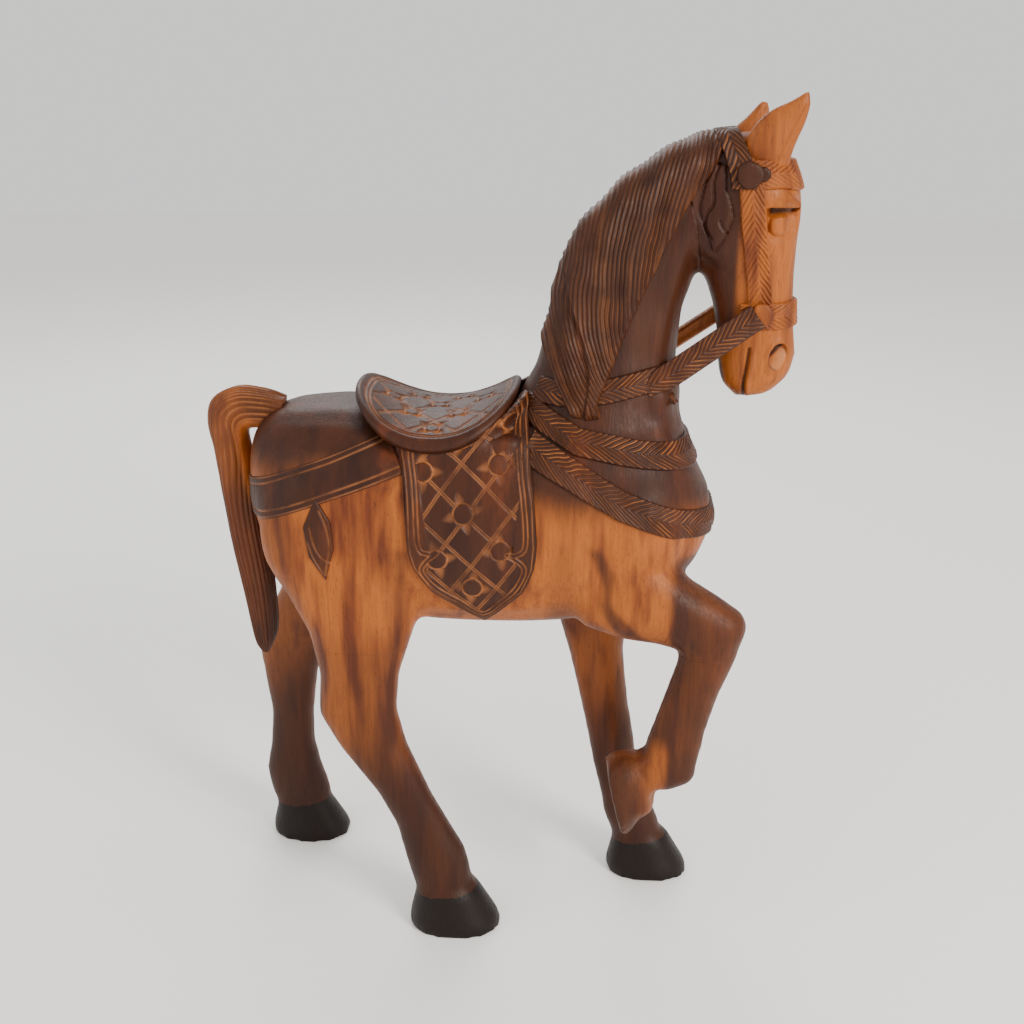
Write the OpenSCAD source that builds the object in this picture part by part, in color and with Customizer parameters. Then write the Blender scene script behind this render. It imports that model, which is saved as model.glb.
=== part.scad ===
// Large carved wooden horse in harness, walking with its right foreleg raised.
// +X is the way the horse faces, +Y its left side, +Z up; it stands on z = 0.

/* [Overall] */
// Height from the ground to the tip of the right ear; every other size goes with it
horse_height = 800; // [720:10:880]

/* [Joinery] */
// Diameter of the dowels that hold the neck, the head and the legs
dowel_d = 16; // [12:1:18]
// Diameter of the small pegs in the ears and the tail
peg_d = 8; // [6:1:9]
// Glue gap all round a dowel
glue_gap = 0.3; // [0.2:0.1:0.5]

/* [Harness] */
// Height of the carved straps above the skin
strap_relief = 4; // [3:0.5:5]
// Width of the two breast straps
breast_strap_w = 25; // [20:1:28]
// Width of the reins
rein_w = 22; // [18:1:24]
// Thickness of the saddle seat
seat_t = 11; // [9:1:13]
// Height of the saddle flaps above the flanks
flap_relief = 5; // [4:0.5:6]
// Thickness of the mane above the neck
mane_relief = 9; // [7:1:11]

/* [Hidden] */

drawn_height = 802;            // height at which the stations below are laid out
section_sides = 20;            // sides of every carved cross-section
reach = 300;                   // longer than any cut that must pass right through
centre_shift = [4, 1, 0];      // moves the drawing so that its box is centred over the origin

// Joint faces between the blocks
leg_joint_z = 300;             // level faces where the standing legs meet the body
forearm_joint = [164, 0, 340];  // middle of the face where the raised forearm meets the chest
forearm_joint_slope = 114;
knee_joint_z = 294;            // level face below the bent knee
neck_joint = [105, 0, 507];    // middle of the sloping face under the neck
neck_joint_slope = 16;
head_joint = [171, 0, 712];    // middle of the steep face behind the cheeks
head_joint_slope = 78;

dark_wood = "#4a2415";
body_wood = "#8a4a22";
gold_wood = "#b9733a";
strap_wood = "#5a3018";
dowel_wood = "#c49a6c";

// ---- Stations -------------------------------------------------------------
// Each station is one oval section: [x, z] of its front or top edge,
// [x, z] of its rear or bottom edge, its y, and its half width.

torso_stations = [
    [-239, 472, -239, 432, 0, 16],
    [-232, 497, -232, 402, 0, 46],
    [-212, 516, -212, 356, 0, 72],
    [-175, 524, -175, 322, 0, 88],
    [-120, 524, -120, 316, 0, 95],
    [-60, 508, -60, 310, 0, 97],
    [0, 506, 0, 309, 0, 97],
    [50, 522, 50, 310, 0, 94],
    [100, 538, 100, 316, 0, 88],
    [142, 532, 142, 330, 0, 79],
    [168, 504, 168, 350, 0, 66],
    [187, 468, 187, 372, 0, 50],
    [200, 442, 200, 400, 0, 26]
];
neck_stations = [
    [190, 450, 4, 508, 0, 76],
    [180, 480, 18, 532, 0, 68],
    [169, 520, 34, 560, 0, 57],
    [164, 570, 45, 602, 0, 49],
    [168, 615, 55, 648, 0, 44],
    [182, 656, 80, 692, 0, 41],
    [200, 690, 117, 729, 0, 38],
    [216, 722, 160, 757, 0, 35],
    [230, 742, 200, 768, 0, 28]
];
head_stations = [
    [234, 770, 184, 766, 0, 24],
    [256, 752, 176, 752, 0, 35],
    [268, 724, 170, 732, 0, 41],
    [270, 700, 168, 706, 0, 42],
    [268, 676, 172, 678, 0, 39],
    [267, 648, 184, 650, 0, 34],
    [268, 620, 195, 620, 0, 30],
    [270, 596, 200, 595, 0, 28],
    [273, 574, 202, 568, 0, 27],
    [268, 554, 206, 547, 0, 24],
    [252, 538, 220, 533, 0, 16]
];
right_hind_stations = [
    [-86, 452, -226, 430, -46, 40],
    [-66, 390, -222, 384, -54, 42],
    [-66, 345, -198, 345, -60, 38],
    [-80, 308, -179, 312, -66, 32],
    [-92, 271, -169, 270, -72, 26],
    [-95, 234, -171, 230, -76, 22],
    [-86, 198, -152, 196, -78, 20],
    [-62, 142, -116, 148, -80, 18],
    [-44, 108, -98, 112, -80, 18],
    [-30, 82, -89, 74, -80, 21],
    [-24, 56, -82, 48, -80, 22],
    [-22, 36, -76, 28, -80, 22]
];
left_hind_stations = [
    [-86, 452, -226, 430, 46, 40],
    [-84, 390, -228, 384, 54, 42],
    [-110, 345, -224, 350, 60, 38],
    [-140, 308, -234, 308, 66, 32],
    [-170, 271, -255, 266, 72, 26],
    [-194, 234, -267, 226, 76, 22],
    [-206, 198, -264, 194, 78, 19],
    [-213, 150, -259, 150, 80, 18],
    [-214, 112, -262, 112, 80, 18],
    [-208, 82, -269, 76, 80, 20],
    [-200, 56, -264, 48, 80, 21],
    [-198, 36, -254, 28, 80, 21]
];
left_fore_stations = [
    [172, 430, 46, 392, 46, 34],
    [162, 372, 42, 352, 46, 36],
    [140, 326, 44, 322, 45, 34],
    [126, 290, 56, 290, 42, 29],
    [124, 250, 68, 250, 39, 24],
    [130, 196, 80, 200, 35, 21],
    [136, 164, 87, 168, 33, 20],
    [142, 122, 96, 122, 31, 17],
    [152, 92, 104, 90, 30, 18],
    [161, 70, 108, 66, 30, 20],
    [168, 52, 116, 46, 30, 21],
    [168, 36, 118, 28, 30, 21]
];
// The raised forearm runs forward, so its sections stand across it: top edge, then underside
right_forearm_stations = [
    [78, 424, 62, 340, -46, 30],
    [118, 412, 84, 318, -50, 34],
    [156, 390, 118, 308, -54, 33],
    [186, 366, 154, 304, -56, 29],
    [212, 350, 174, 298, -57, 26],
    [234, 334, 178, 296, -57, 25],
    [238, 316, 175, 290, -57, 24]
];
right_shin_stations = [
    [238, 326, 176, 300, -57, 24],
    [229, 290, 173, 280, -57, 22],
    [214, 250, 163, 248, -57, 19],
    [204, 212, 153, 216, -57, 17],
    [200, 188, 146, 196, -57, 18],
    [193, 162, 140, 187, -57, 20],
    [172, 146, 126, 184, -57, 21],
    [150, 126, 120, 182, -57, 24]
];
tail_stations = [
    [-206, 524, -214, 486, 0, 15],
    [-226, 531, -229, 492, 0, 16],
    [-252, 533, -241, 492, 0, 17],
    [-276, 521, -244, 486, 0, 18],
    [-283, 500, -242, 472, 0, 18],
    [-278, 462, -239, 452, 0, 18],
    [-272, 420, -235, 416, 0, 17],
    [-266, 370, -230, 368, 0, 15],
    [-257, 315, -226, 315, 0, 13],
    [-250, 270, -227, 280, 0, 11],
    [-244, 257, -236, 257, 0, 7]
];

right_ear_stations = [
    [254, 744, 213, 752, -26, 10],
    [256, 764, 224, 768, -28, 9],
    [261, 780, 237, 781, -30, 7.5],
    [266, 793, 250, 790, -31, 5],
    [269, 802, 262, 800, -31, 2]
];
left_ear_stations = [
    [240, 746, 200, 752, 26, 10],
    [242, 764, 208, 768, 28, 8.5],
    [245, 778, 221, 781, 30, 6.5],
    [247, 789, 234, 790, 31, 3]
];

// ---- Outlines of the raised carving, side view, [x, z] -------------------------
saddle_middle_x = -57;
saddle_half_length = 77;
saddle_half_width = 90;
saddle_low_z = 519;
flap_outline = [
    [-86, 520], [-81, 470], [-77, 404], [-73, 388], [-58, 367], [-34, 349], [-9, 330],
    [10, 348], [28, 366], [38, 388], [41, 411], [38, 454], [32, 500], [28, 522]
];
mane_outline = [
    [220, 790], [60, 790], [0, 640], [14, 560], [36, 548], [60, 530], [80, 512], [90, 530],
    [101, 562], [128, 629], [150, 672], [169, 701], [183, 730], [196, 752]
];
crown_outline = [[183, 760], [194, 800], [208, 800], [223, 760], [206, 738]];
upper_breast_line = [[16, 538], [34, 530], [76, 508], [126, 494], [180, 485], [220, 480]];
lower_breast_line = [[18, 504], [36, 495], [72, 476], [116, 449], [166, 428], [220, 412]];
breeching_line = [[-270, 426], [-230, 439], [-160, 465], [-84, 493], [-60, 502]];
neck_rein_line = [[172, 563], [140, 556], [100, 547], [60, 543], [14, 546]];
brow_line = [[218, 737], [250, 736], [290, 728]];
cheek_line = [[220, 740], [225, 690], [233, 640], [237, 608]];
nose_line = [[232, 613], [255, 612], [290, 613]];
haunch_leaf = [[-162, 452], [-148, 430], [-146, 404], [-154, 374], [-170, 396], [-174, 424], [-168, 438]];
brow_rosette = [219, 736];
bit_rosette = [238, 613];
rosette_r = 11;

function between(a, b, c, d, t) =
    0.5 * (2 * b + (c - a) * t + (2 * a - 5 * b + 4 * c - d) * t * t + (3 * b - a - 3 * c + d) * t * t * t);
function smoothed(s, steps) = concat(
    [for (i = [0 : len(s) - 2]) for (j = [0 : steps - 1])
        between(s[max(i - 1, 0)], s[i], s[i + 1], s[min(i + 2, len(s) - 1)], j / steps)],
    [s[len(s) - 1]]);
function rounded(v, power) = sign(v) * pow(abs(v), 2 / power);

// One carved section, thin as a card; grow moves its edge and its two faces outward
module section(s, grow, power) {
    across = norm([s[0] - s[2], s[1] - s[3]]) / 2 + grow;
    lean = atan2(s[1] - s[3], s[0] - s[2]);
    translate([(s[0] + s[2]) / 2, s[4], (s[1] + s[3]) / 2])
        rotate([0, -lean, 0])
            linear_extrude(0.1 + 2 * grow, center = true)
                polygon([for (a = [0 : 360 / section_sides : 359])
                    [across * rounded(cos(a), power), (s[5] + grow) * rounded(sin(a), power)]]);
}

// A limb or a trunk carved smoothly through its stations
module carved(stations, grow = 0, power = 2.2, steps = 1) {
    path = smoothed(stations, steps);
    for (i = [0 : len(path) - 2])
        hull() {
            section(path[i], grow, power);
            section(path[i + 1], grow, power);
        }
}

// A side-view outline carried across the horse from y = y0 to y = y1
module across(outline, y0, y1)
    translate([0, y1, 0])
        rotate([90, 0, 0])
            linear_extrude(y1 - y0)
                polygon(outline);

// Everything on the far side of a joint face: x in front of it, or above it when it slopes little
module beyond(middle, slope)
    translate(middle)
        rotate([0, slope, 0])
            translate([-reach, -reach, 0])
                cube([2 * reach, 2 * reach, 2 * reach]);

function normals(p) = [for (i = [0 : len(p) - 1])
    let (d = p[min(i + 1, len(p) - 1)] - p[max(i - 1, 0)]) [-d[1], d[0]] / norm(d)];
function band(centre, width) = let (p = smoothed(centre, 3), n = normals(p)) concat(
    [for (i = [0 : len(p) - 1]) p[i] + n[i] * width / 2],
    [for (i = [len(p) - 1 : -1 : 0]) p[i] - n[i] * width / 2]);

// Places a drawn piece at its real size, over the origin
module at_size() scale(horse_height / drawn_height) translate(centre_shift) children();

// ---- Forms that several pieces share ---------------------------------------

module hoof(toe_x, heel_x, y, half_width, coronet_z) {
    hull() {
        section([toe_x, 0.05, heel_x, 0.05, y, half_width], 0, 2.2);
        section([toe_x - 3, 8, heel_x - 1, 8, y, half_width - 1], 0, 2.2);
    }
    hull() {
        section([toe_x - 3, 8, heel_x - 1, 8, y, half_width - 1], 0, 2.2);
        section([toe_x - 24, coronet_z, heel_x + 6, coronet_z - 6, y, half_width - 10], 0, 2.2);
    }
}

module torso_form(grow = 0) {
    carved(torso_stations, grow, 2.5, 2);
    // wood left standing under the saddle, so that the flaps hang straight
    hull() {
        across([[-104, 506], [-70, 510], [12, 510], [44, 510], [44, 440], [-104, 440]], -50 - grow, 50 + grow);
        across([[-78, 508], [20, 508], [26, 440], [-78, 440]], -76 - grow, 76 + grow);
        across([[-70, 440], [14, 440], [14, 380], [-66, 380]], -92 - grow, 92 + grow);
    }
    // haunches and shoulders
    for (side = [-1, 1]) {
        translate([-158, side * 58, 412]) scale([66 + grow, 36 + grow, 84 + grow]) sphere(1, $fn = 24);
        translate([118, side * 50, 420]) scale([60 + grow, 38 + grow, 74 + grow]) sphere(1, $fn = 24);
    }
}
module raised_leg_form(grow = 0) {
    carved(right_forearm_stations, grow);
    carved(right_shin_stations, grow);
    // the hoof is folded back, its sole facing behind
    hull() {
        section([158, 138, 122, 184, -57, 25], grow, 2.2);
        section([132, 96, 113, 180, -57, 32], grow, 2.2);
    }
    hull() {
        section([132, 96, 113, 180, -57, 32], grow, 2.2);
        section([127, 95, 108, 177, -57, 32], grow, 2.2);
    }
}
module body_form(grow = 0) {
    torso_form(grow);
    carved(neck_stations, grow);
    carved(right_hind_stations, grow);
    carved(left_hind_stations, grow);
    carved(left_fore_stations, grow);
    carved(right_forearm_stations, grow);
}
module head_form(grow = 0) {
    carved(head_stations, grow, 2.3);
    for (side = [-1, 1]) {
        // round cheeks and the heavy brows
        translate([206, side * 24, 690]) scale([36 + grow, 17 + grow, 36 + grow]) sphere(1, $fn = 24);
        translate([250, side * 33, 710]) scale([18 + grow, 10 + grow, 8 + grow]) sphere(1, $fn = 24);
    }
}

module pin(middle, length, d, tilt = 0)
    translate(middle) rotate([0, tilt, 0]) cylinder(h = length, d = d, center = true);

// Pairs of dowels and single pegs, each lying half in one block and half in the next
module neck_pins(d) for (x = [70, 140])
    pin([x, 0, neck_joint[2] - (x - neck_joint[0]) * tan(neck_joint_slope)], 90, d, neck_joint_slope);
module head_pins(d) pin([head_joint[0] + 4, 0, 706], 70, d, head_joint_slope);
module forearm_pins(d) for (z = [328, 352])
    pin([forearm_joint[0] + (z - forearm_joint[2]) * tan(forearm_joint_slope - 90), -55, z], 50, d, 100);
module knee_pins(d) pin([200, -57, knee_joint_z], 40, d);
module left_fore_pins(d) for (x = [80, 108]) pin([x, 42, leg_joint_z], 50, d);
module right_hind_pins(d) for (x = [-146, -112]) pin([x, -68, leg_joint_z], 70, d);
module left_hind_pins(d) for (x = [-214, -184]) pin([x, 67, leg_joint_z], 46, d);
module tail_pins(d) pin([-229, 0, 499], 36, d, -51);
module ear_pins(d) for (side = [-1, 1]) pin([231, side * 26, 758], 22, d, 12);
module holes() {
    d = dowel_d + 2 * glue_gap;
    neck_pins(d);
    head_pins(d);
    forearm_pins(d);
    knee_pins(d);
    left_fore_pins(d);
    right_hind_pins(d);
    left_hind_pins(d);
    tail_pins(peg_d + 2 * glue_gap);
    ear_pins(peg_d + 2 * glue_gap);
}

module slab_below(z) translate([-2 * reach, -reach, z - 2 * reach]) cube([4 * reach, 2 * reach, 2 * reach]);
module slab_above(z) translate([-2 * reach, -reach, z]) cube([4 * reach, 2 * reach, 3 * reach]);

// Raised carving: the skin between the form and the form grown by relief, inside an outline
module raised(relief, outline, y0 = -reach, y1 = reach)
    difference() {
        intersection() {
            body_form(relief);
            across(outline, y0, y1);
        }
        body_form();
    }
module raised_on_head(relief, outline, y0 = -reach, y1 = reach)
    difference() {
        intersection() {
            head_form(relief);
            across(outline, y0, y1);
        }
        head_form();
    }

// ---- Blocks ----------------------------------------------------------------

module torso() at_size()
    difference() {
        color(body_wood) difference() {
            union() {
                torso_form();
                carved(neck_stations);
                carved(right_hind_stations);
                carved(left_hind_stations);
                carved(left_fore_stations);
                carved(right_forearm_stations);
            }
            slab_below(leg_joint_z);
            beyond(neck_joint, neck_joint_slope);
            // the seat of the raised forearm, with a hair of room for the glue
            intersection() {
                raised_leg_form(0.05);
                beyond(forearm_joint, forearm_joint_slope);
            }
        }
        holes();
    }
module neck() at_size()
    difference() {
        color(dark_wood) difference() {
            intersection() {
                union() {
                    carved(neck_stations);
                    torso_form();
                }
                beyond(neck_joint, neck_joint_slope);
            }
            beyond(head_joint, head_joint_slope);
        }
        holes();
    }
module head() at_size()
    difference() {
        color(gold_wood) intersection() {
            union() {
                head_form();
                carved(neck_stations);
            }
            beyond(head_joint, head_joint_slope);
        }
        holes();
    }

module right_ear() at_size()
    difference() {
        color(gold_wood) difference() {
            carved(right_ear_stations);
            head_form();
        }
        ear_pins(peg_d + 2 * glue_gap);
    }
module left_ear() at_size()
    difference() {
        color(gold_wood) difference() {
            carved(left_ear_stations);
            head_form();
        }
        ear_pins(peg_d + 2 * glue_gap);
    }
module right_forearm() at_size()
    difference() {
        color(body_wood) intersection() {
            raised_leg_form();
            slab_above(knee_joint_z);
            beyond(forearm_joint, forearm_joint_slope);
        }
        holes();
    }
module right_fore_shin() at_size()
    difference() {
        color(body_wood) intersection() {
            raised_leg_form();
            slab_below(knee_joint_z);
        }
        holes();
    }
module left_fore_leg() at_size()
    difference() {
        color(gold_wood) intersection() {
            union() {
                carved(left_fore_stations);
                hoof(199, 112, 30, 34, 44);
            }
            slab_below(leg_joint_z);
            slab_above(0);
        }
        holes();
    }
module right_hind_leg() at_size()
    difference() {
        color(body_wood) intersection() {
            union() {
                carved(right_hind_stations);
                hoof(6, -86, -80, 36, 44);
            }
            slab_below(leg_joint_z);
            slab_above(0);
        }
        holes();
    }
module left_hind_leg() at_size()
    difference() {
        color(body_wood) intersection() {
            union() {
                carved(left_hind_stations);
                hoof(-177, -264, 80, 34, 44);
            }
            slab_below(leg_joint_z);
            slab_above(0);
        }
        holes();
    }
module tail() at_size()
    difference() {
        color(gold_wood) difference() {
            carved(tail_stations);
            torso_form();
        }
        holes();
    }

// ---- Saddle ------------------------------------------------------------------

function seat_half_width(x) = saddle_half_width
    * pow(1 - pow(abs(x - saddle_middle_x) / saddle_half_length, 2.6), 1 / 2.6);
function seat_top(x, y) = saddle_low_z + 0.0045 * pow(x - saddle_middle_x, 2) - 0.0016 * y * y;

module seat_section(x) {
    w = seat_half_width(x);
    translate([x, 0, 0])
        rotate([90, 0, 90])
            linear_extrude(0.1, center = true)
                polygon(concat(
                    [for (i = [-6 : 6]) [i * w / 6, seat_top(x, i * w / 6)]],
                    [[w, seat_top(x, w) - seat_t], [-w, seat_top(x, w) - seat_t]]));
}
module seat_form() {
    steps = 18;
    xs = [for (i = [0 : steps]) saddle_middle_x - (saddle_half_length - 1) * cos(i * 180 / steps)];
    for (i = [0 : steps - 1])
        hull() {
            seat_section(xs[i]);
            seat_section(xs[i + 1]);
        }
}
module saddle_seat() at_size()
    color(dark_wood) difference() {
        seat_form();
        body_form();
    }
module saddle_flap(side)
    color(dark_wood) difference() {
        raised(flap_relief, flap_outline, side < 0 ? -reach : 30, side < 0 ? -30 : reach);
        seat_form();
    }
module right_saddle_flap() at_size() saddle_flap(-1);
module left_saddle_flap() at_size() saddle_flap(1);

// ---- Mane and harness --------------------------------------------------------

module mane() at_size()
    color(dark_wood) difference() {
        raised(mane_relief, mane_outline, -reach, 14);
        across(crown_outline, -reach, reach);
        head_form(strap_relief);
        seat_form();
    }
module crown_strap() at_size()
    color(strap_wood) difference() {
        raised_on_head(strap_relief + 3, crown_outline);
        carved(neck_stations);
        carved(right_ear_stations);
        carved(left_ear_stations);
        rosettes(brow_rosette, rosette_r);
    }
module rosettes(middle, r, outer = 50)
    for (side = [-1, 1])
        translate([middle[0], side * 20, middle[1]])
            rotate([-side * 90, 0, 0])
                cylinder(h = outer - 20, r = r);
module strap_on_head(line, width, y0, y1)
    difference() {
        raised_on_head(strap_relief, band(line, width), y0, y1);
        rosettes(brow_rosette, rosette_r);
        rosettes(bit_rosette, rosette_r);
    }
module browband() at_size()
    color(strap_wood) difference() {
        strap_on_head(brow_line, 24, -reach, reach);
        across(crown_outline, -reach, reach);
        carved(right_ear_stations);
        carved(left_ear_stations);
    }
module noseband() at_size() color(strap_wood) strap_on_head(nose_line, 24, -reach, reach);
module cheek_strap(side)
    color(strap_wood) difference() {
        strap_on_head(cheek_line, 21, side < 0 ? -reach : 8, side < 0 ? -8 : reach);
        across(band(brow_line, 24), -reach, reach);
        across(band(nose_line, 24), -reach, reach);
        across(crown_outline, -reach, reach);
    }
module right_cheek_strap() at_size() cheek_strap(-1);
module left_cheek_strap() at_size() cheek_strap(1);
module brow_rosettes() at_size()
    color(strap_wood) difference() {
        rosettes(brow_rosette, rosette_r, 49);
        head_form();
        carved(neck_stations);
    }
module bit_rosettes() at_size()
    color(strap_wood) difference() {
        rosettes(bit_rosette, rosette_r, 39);
        head_form();
    }

// A rein stretched between the bit and the neck, its middle line raised by lift
module rein(side, width, lift = 0)
    difference() {
        hull() {
            translate([232, side * 37, 614 + lift]) rotate([0, -38, 0]) cube([4, 8, width], center = true);
            translate([140, side * 42, 547 + lift]) rotate([0, -38, 0]) cube([4, 8, width], center = true);
        }
        body_form(strap_relief);
        head_form(strap_relief);
        rosettes(bit_rosette, rosette_r);
    }
module right_rein() at_size() color(strap_wood) rein(-1, rein_w);
module left_rein() at_size() color(strap_wood) rein(1, 0.7 * rein_w, 9);
module neck_rein(side)
    color(strap_wood) difference() {
        raised(strap_relief, band(neck_rein_line, rein_w), side < 0 ? -reach : 22, side < 0 ? -22 : reach);
        if (side < 0)
            across(mane_outline, -reach, 0);
        across(flap_outline, -reach, reach);
        across(band(upper_breast_line, breast_strap_w), -reach, reach);
        seat_form();
    }
module right_neck_rein() at_size() neck_rein(-1);
module left_neck_rein() at_size() neck_rein(1);

module upper_breast_strap() at_size()
    color(strap_wood) difference() {
        raised(strap_relief, band(upper_breast_line, breast_strap_w));
        across(flap_outline, -reach, reach);
        across(mane_outline, -reach, 0);
        seat_form();
    }
module boss() translate([196, 0, 414]) scale([11, 16, 20]) sphere(1, $fn = 24);
module lower_breast_strap() at_size()
    color(strap_wood) difference() {
        raised(strap_relief, band(lower_breast_line, breast_strap_w));
        across(flap_outline, -reach, reach);
        across(band(upper_breast_line, breast_strap_w), -reach, reach);
        boss();
    }
module breast_boss() at_size()
    color(strap_wood) difference() {
        boss();
        torso_form();
    }
module breeching_band() at_size()
    color(dark_wood) difference() {
        raised(strap_relief / 2, band(breeching_line, 37));
        across(flap_outline, -reach, reach);
        seat_form();
        carved(tail_stations, 0.5);
    }
module haunch_leaves() at_size()
    color(strap_wood) difference() {
        raised(strap_relief, haunch_leaf);
        across(band(breeching_line, 37), -reach, reach);
    }

// ---- Dowels and pegs, hidden in the joints ----------------------------------------

module neck_dowels() at_size() color(dowel_wood) neck_pins(dowel_d);
module head_dowels() at_size() color(dowel_wood) head_pins(dowel_d);
module right_forearm_dowels() at_size() color(dowel_wood) forearm_pins(dowel_d);
module knee_dowel() at_size() color(dowel_wood) knee_pins(dowel_d);
module left_fore_dowels() at_size() color(dowel_wood) left_fore_pins(dowel_d);
module right_hind_dowels() at_size() color(dowel_wood) right_hind_pins(dowel_d);
module left_hind_dowels() at_size() color(dowel_wood) left_hind_pins(dowel_d);
module tail_peg() at_size() color(dowel_wood) tail_pins(peg_d);
module ear_pegs() at_size() color(dowel_wood) ear_pins(peg_d);

torso();
neck();
head();
right_ear();
left_ear();
right_forearm();
right_fore_shin();
left_fore_leg();
right_hind_leg();
left_hind_leg();
tail();
saddle_seat();
right_saddle_flap();
left_saddle_flap();
mane();
crown_strap();
browband();
noseband();
right_cheek_strap();
left_cheek_strap();
brow_rosettes();
bit_rosettes();
right_rein();
left_rein();
right_neck_rein();
left_neck_rein();
upper_breast_strap();
lower_breast_strap();
breast_boss();
breeching_band();
haunch_leaves();
neck_dowels();
head_dowels();
right_forearm_dowels();
knee_dowel();
left_fore_dowels();
right_hind_dowels();
left_hind_dowels();
tail_peg();
ear_pegs();
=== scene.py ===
"""The looks of a large carved wooden horse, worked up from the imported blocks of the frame.

Metres throughout. +X is the way the horse faces, +Y its left side, +Z up.
"""
import math

import bmesh
import bpy
import numpy as np
from bpy.props import FloatProperty, FloatVectorProperty, IntProperty, PointerProperty, StringProperty
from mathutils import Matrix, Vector
from mathutils.bvhtree import BVHTree


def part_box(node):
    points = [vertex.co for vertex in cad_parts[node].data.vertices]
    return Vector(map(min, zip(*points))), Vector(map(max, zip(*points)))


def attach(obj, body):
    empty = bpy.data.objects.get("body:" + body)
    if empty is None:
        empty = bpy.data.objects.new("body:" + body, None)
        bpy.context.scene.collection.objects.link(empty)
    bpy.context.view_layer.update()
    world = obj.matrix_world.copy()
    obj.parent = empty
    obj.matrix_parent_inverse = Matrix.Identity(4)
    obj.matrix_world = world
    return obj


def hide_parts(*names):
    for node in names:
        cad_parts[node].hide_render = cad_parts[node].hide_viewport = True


bl_info = {
    "name": "Carved wooden horse",
    "version": (1, 0, 0),
    "blender": (4, 5, 0),
    "location": "3D View > Sidebar > Horse",
    "description": "Carves a large wooden horse in harness and sets it on a pale floor",
    "category": "Object",
}

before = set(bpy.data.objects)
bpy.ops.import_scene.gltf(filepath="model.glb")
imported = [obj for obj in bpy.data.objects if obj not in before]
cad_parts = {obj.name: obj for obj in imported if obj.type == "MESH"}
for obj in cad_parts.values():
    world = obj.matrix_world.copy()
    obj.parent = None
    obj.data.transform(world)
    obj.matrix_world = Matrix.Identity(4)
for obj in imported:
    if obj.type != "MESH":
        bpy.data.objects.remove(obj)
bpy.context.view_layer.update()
MM = 0.001
DRAWN = 0.8 / 802            # metres to a millimetre of the side-view drawing
FORE = 4                     # how far the drawing's middle lies behind the finished one
BODY = "root"
BODY_BLOCKS = ["torso", "neck", "head", "right_forearm", "right_fore_shin",
               "left_fore_leg", "right_hind_leg", "left_hind_leg"]
DOWELS = ["neck_dowels", "head_dowels", "right_forearm_dowels", "knee_dowel", "left_fore_dowels",
          "right_hind_dowels", "left_hind_dowels", "tail_peg", "ear_pegs"]
SIDES = ((-1, "right"), (1, "left"))
PLAIT_GRID = 0.55 * MM       # mesh spacing on the plaited straps
work = {}                    # the roughed-out body and its search tree, shared by the operators


# ---- Sizes and colours a maker would change --------------------------------

class HorseBlocks(bpy.types.PropertyGroup):
    rough: FloatProperty(name="Rough grid", description="Grid of the roughed-out body",
                         default=4.0 * MM, unit="LENGTH")
    rounds: IntProperty(name="Rasping", description="Passes that wear the facets away", default=30)
    neck_joint: FloatVectorProperty(name="Neck joint", description="Middle of the face under the neck",
                                    default=(0.1087, 0.001, 0.5057), subtype="TRANSLATION")
    neck_slope: FloatProperty(name="Neck slope", description="Tilt of the face under the neck",
                              default=math.radians(16), subtype="ANGLE")
    head_joint: FloatVectorProperty(name="Head joint", description="Middle of the face behind the cheeks",
                                    default=(0.1746, 0.001, 0.7102), subtype="TRANSLATION")
    head_slope: FloatProperty(name="Head slope", description="Tilt of the face behind the cheeks",
                              default=math.radians(78), subtype="ANGLE")
    forearm_joint: FloatVectorProperty(name="Forearm joint", description="Middle of the forearm's face",
                                       default=(0.1676, 0.001, 0.3392), subtype="TRANSLATION")
    forearm_slope: FloatProperty(name="Forearm slope", description="Tilt of the forearm's face",
                                 default=math.radians(114), subtype="ANGLE")


class HorseCarving(bpy.types.PropertyGroup):
    gouge_pitch: FloatProperty(name="Gouge pitch", description="Spacing of the V cuts in the plaits",
                               default=3.4 * MM, unit="LENGTH")
    gouge_depth: FloatProperty(name="Gouge depth", description="Depth of the V cuts",
                               default=1.3 * MM, unit="LENGTH")
    strap_relief: FloatProperty(name="Strap relief", description="Height of the straps above the skin",
                                default=4.0 * MM, unit="LENGTH")
    hair_pitch: FloatProperty(name="Hair pitch", description="Spacing of the locks' grooves in the mane",
                              default=3.6 * MM, unit="LENGTH")


class HorseWood(bpy.types.PropertyGroup):
    gold: StringProperty(name="Sapwood", description="Golden sapwood, sRGB hex", default="#a0561e")
    tan: StringProperty(name="Heartwood", description="Red-brown heartwood, sRGB hex", default="#642d12")
    dark: StringProperty(name="Dark figure", description="Dark streaks in the heartwood, sRGB hex",
                         default="#26110a")
    # this dark colour is the brushed-on stain and also the painted shade on the legs, the raised forearm and the
    # face's hollows
    stain_and_shade: StringProperty(name="Stain", description="Dark brown stain on back and harness, sRGB hex",
                          default="#200c05")
    cut: StringProperty(name="Fresh cut", description="Pale wood in the cuts, sRGB hex", default="#a9683a")


class HorseStage(bpy.types.PropertyGroup):
    camera: FloatVectorProperty(name="Camera", description="Where the camera stands",
                                default=(0.102, -1.237, 0.838), subtype="TRANSLATION")
    turn: FloatProperty(name="Turn", description="Camera's turn about the upright",
                        default=math.radians(4), subtype="ANGLE")
    dip: FloatProperty(name="Dip", description="How far the camera looks down",
                       default=math.radians(19), subtype="ANGLE")
    lens: FloatProperty(name="Lens", description="Focal length in millimetres", default=47.5)


# ---- Wood -------------------------------------------------------------------

def linear(hex_colour, alpha=1.0):
    """sRGB hex to the linear colour that a shader takes."""
    parts = [int(hex_colour[i:i + 2], 16) / 255 for i in (1, 3, 5)]
    return tuple(c / 12.92 if c < 0.04045 else ((c + 0.055) / 1.055) ** 2.4 for c in parts) + (alpha,)


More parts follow.
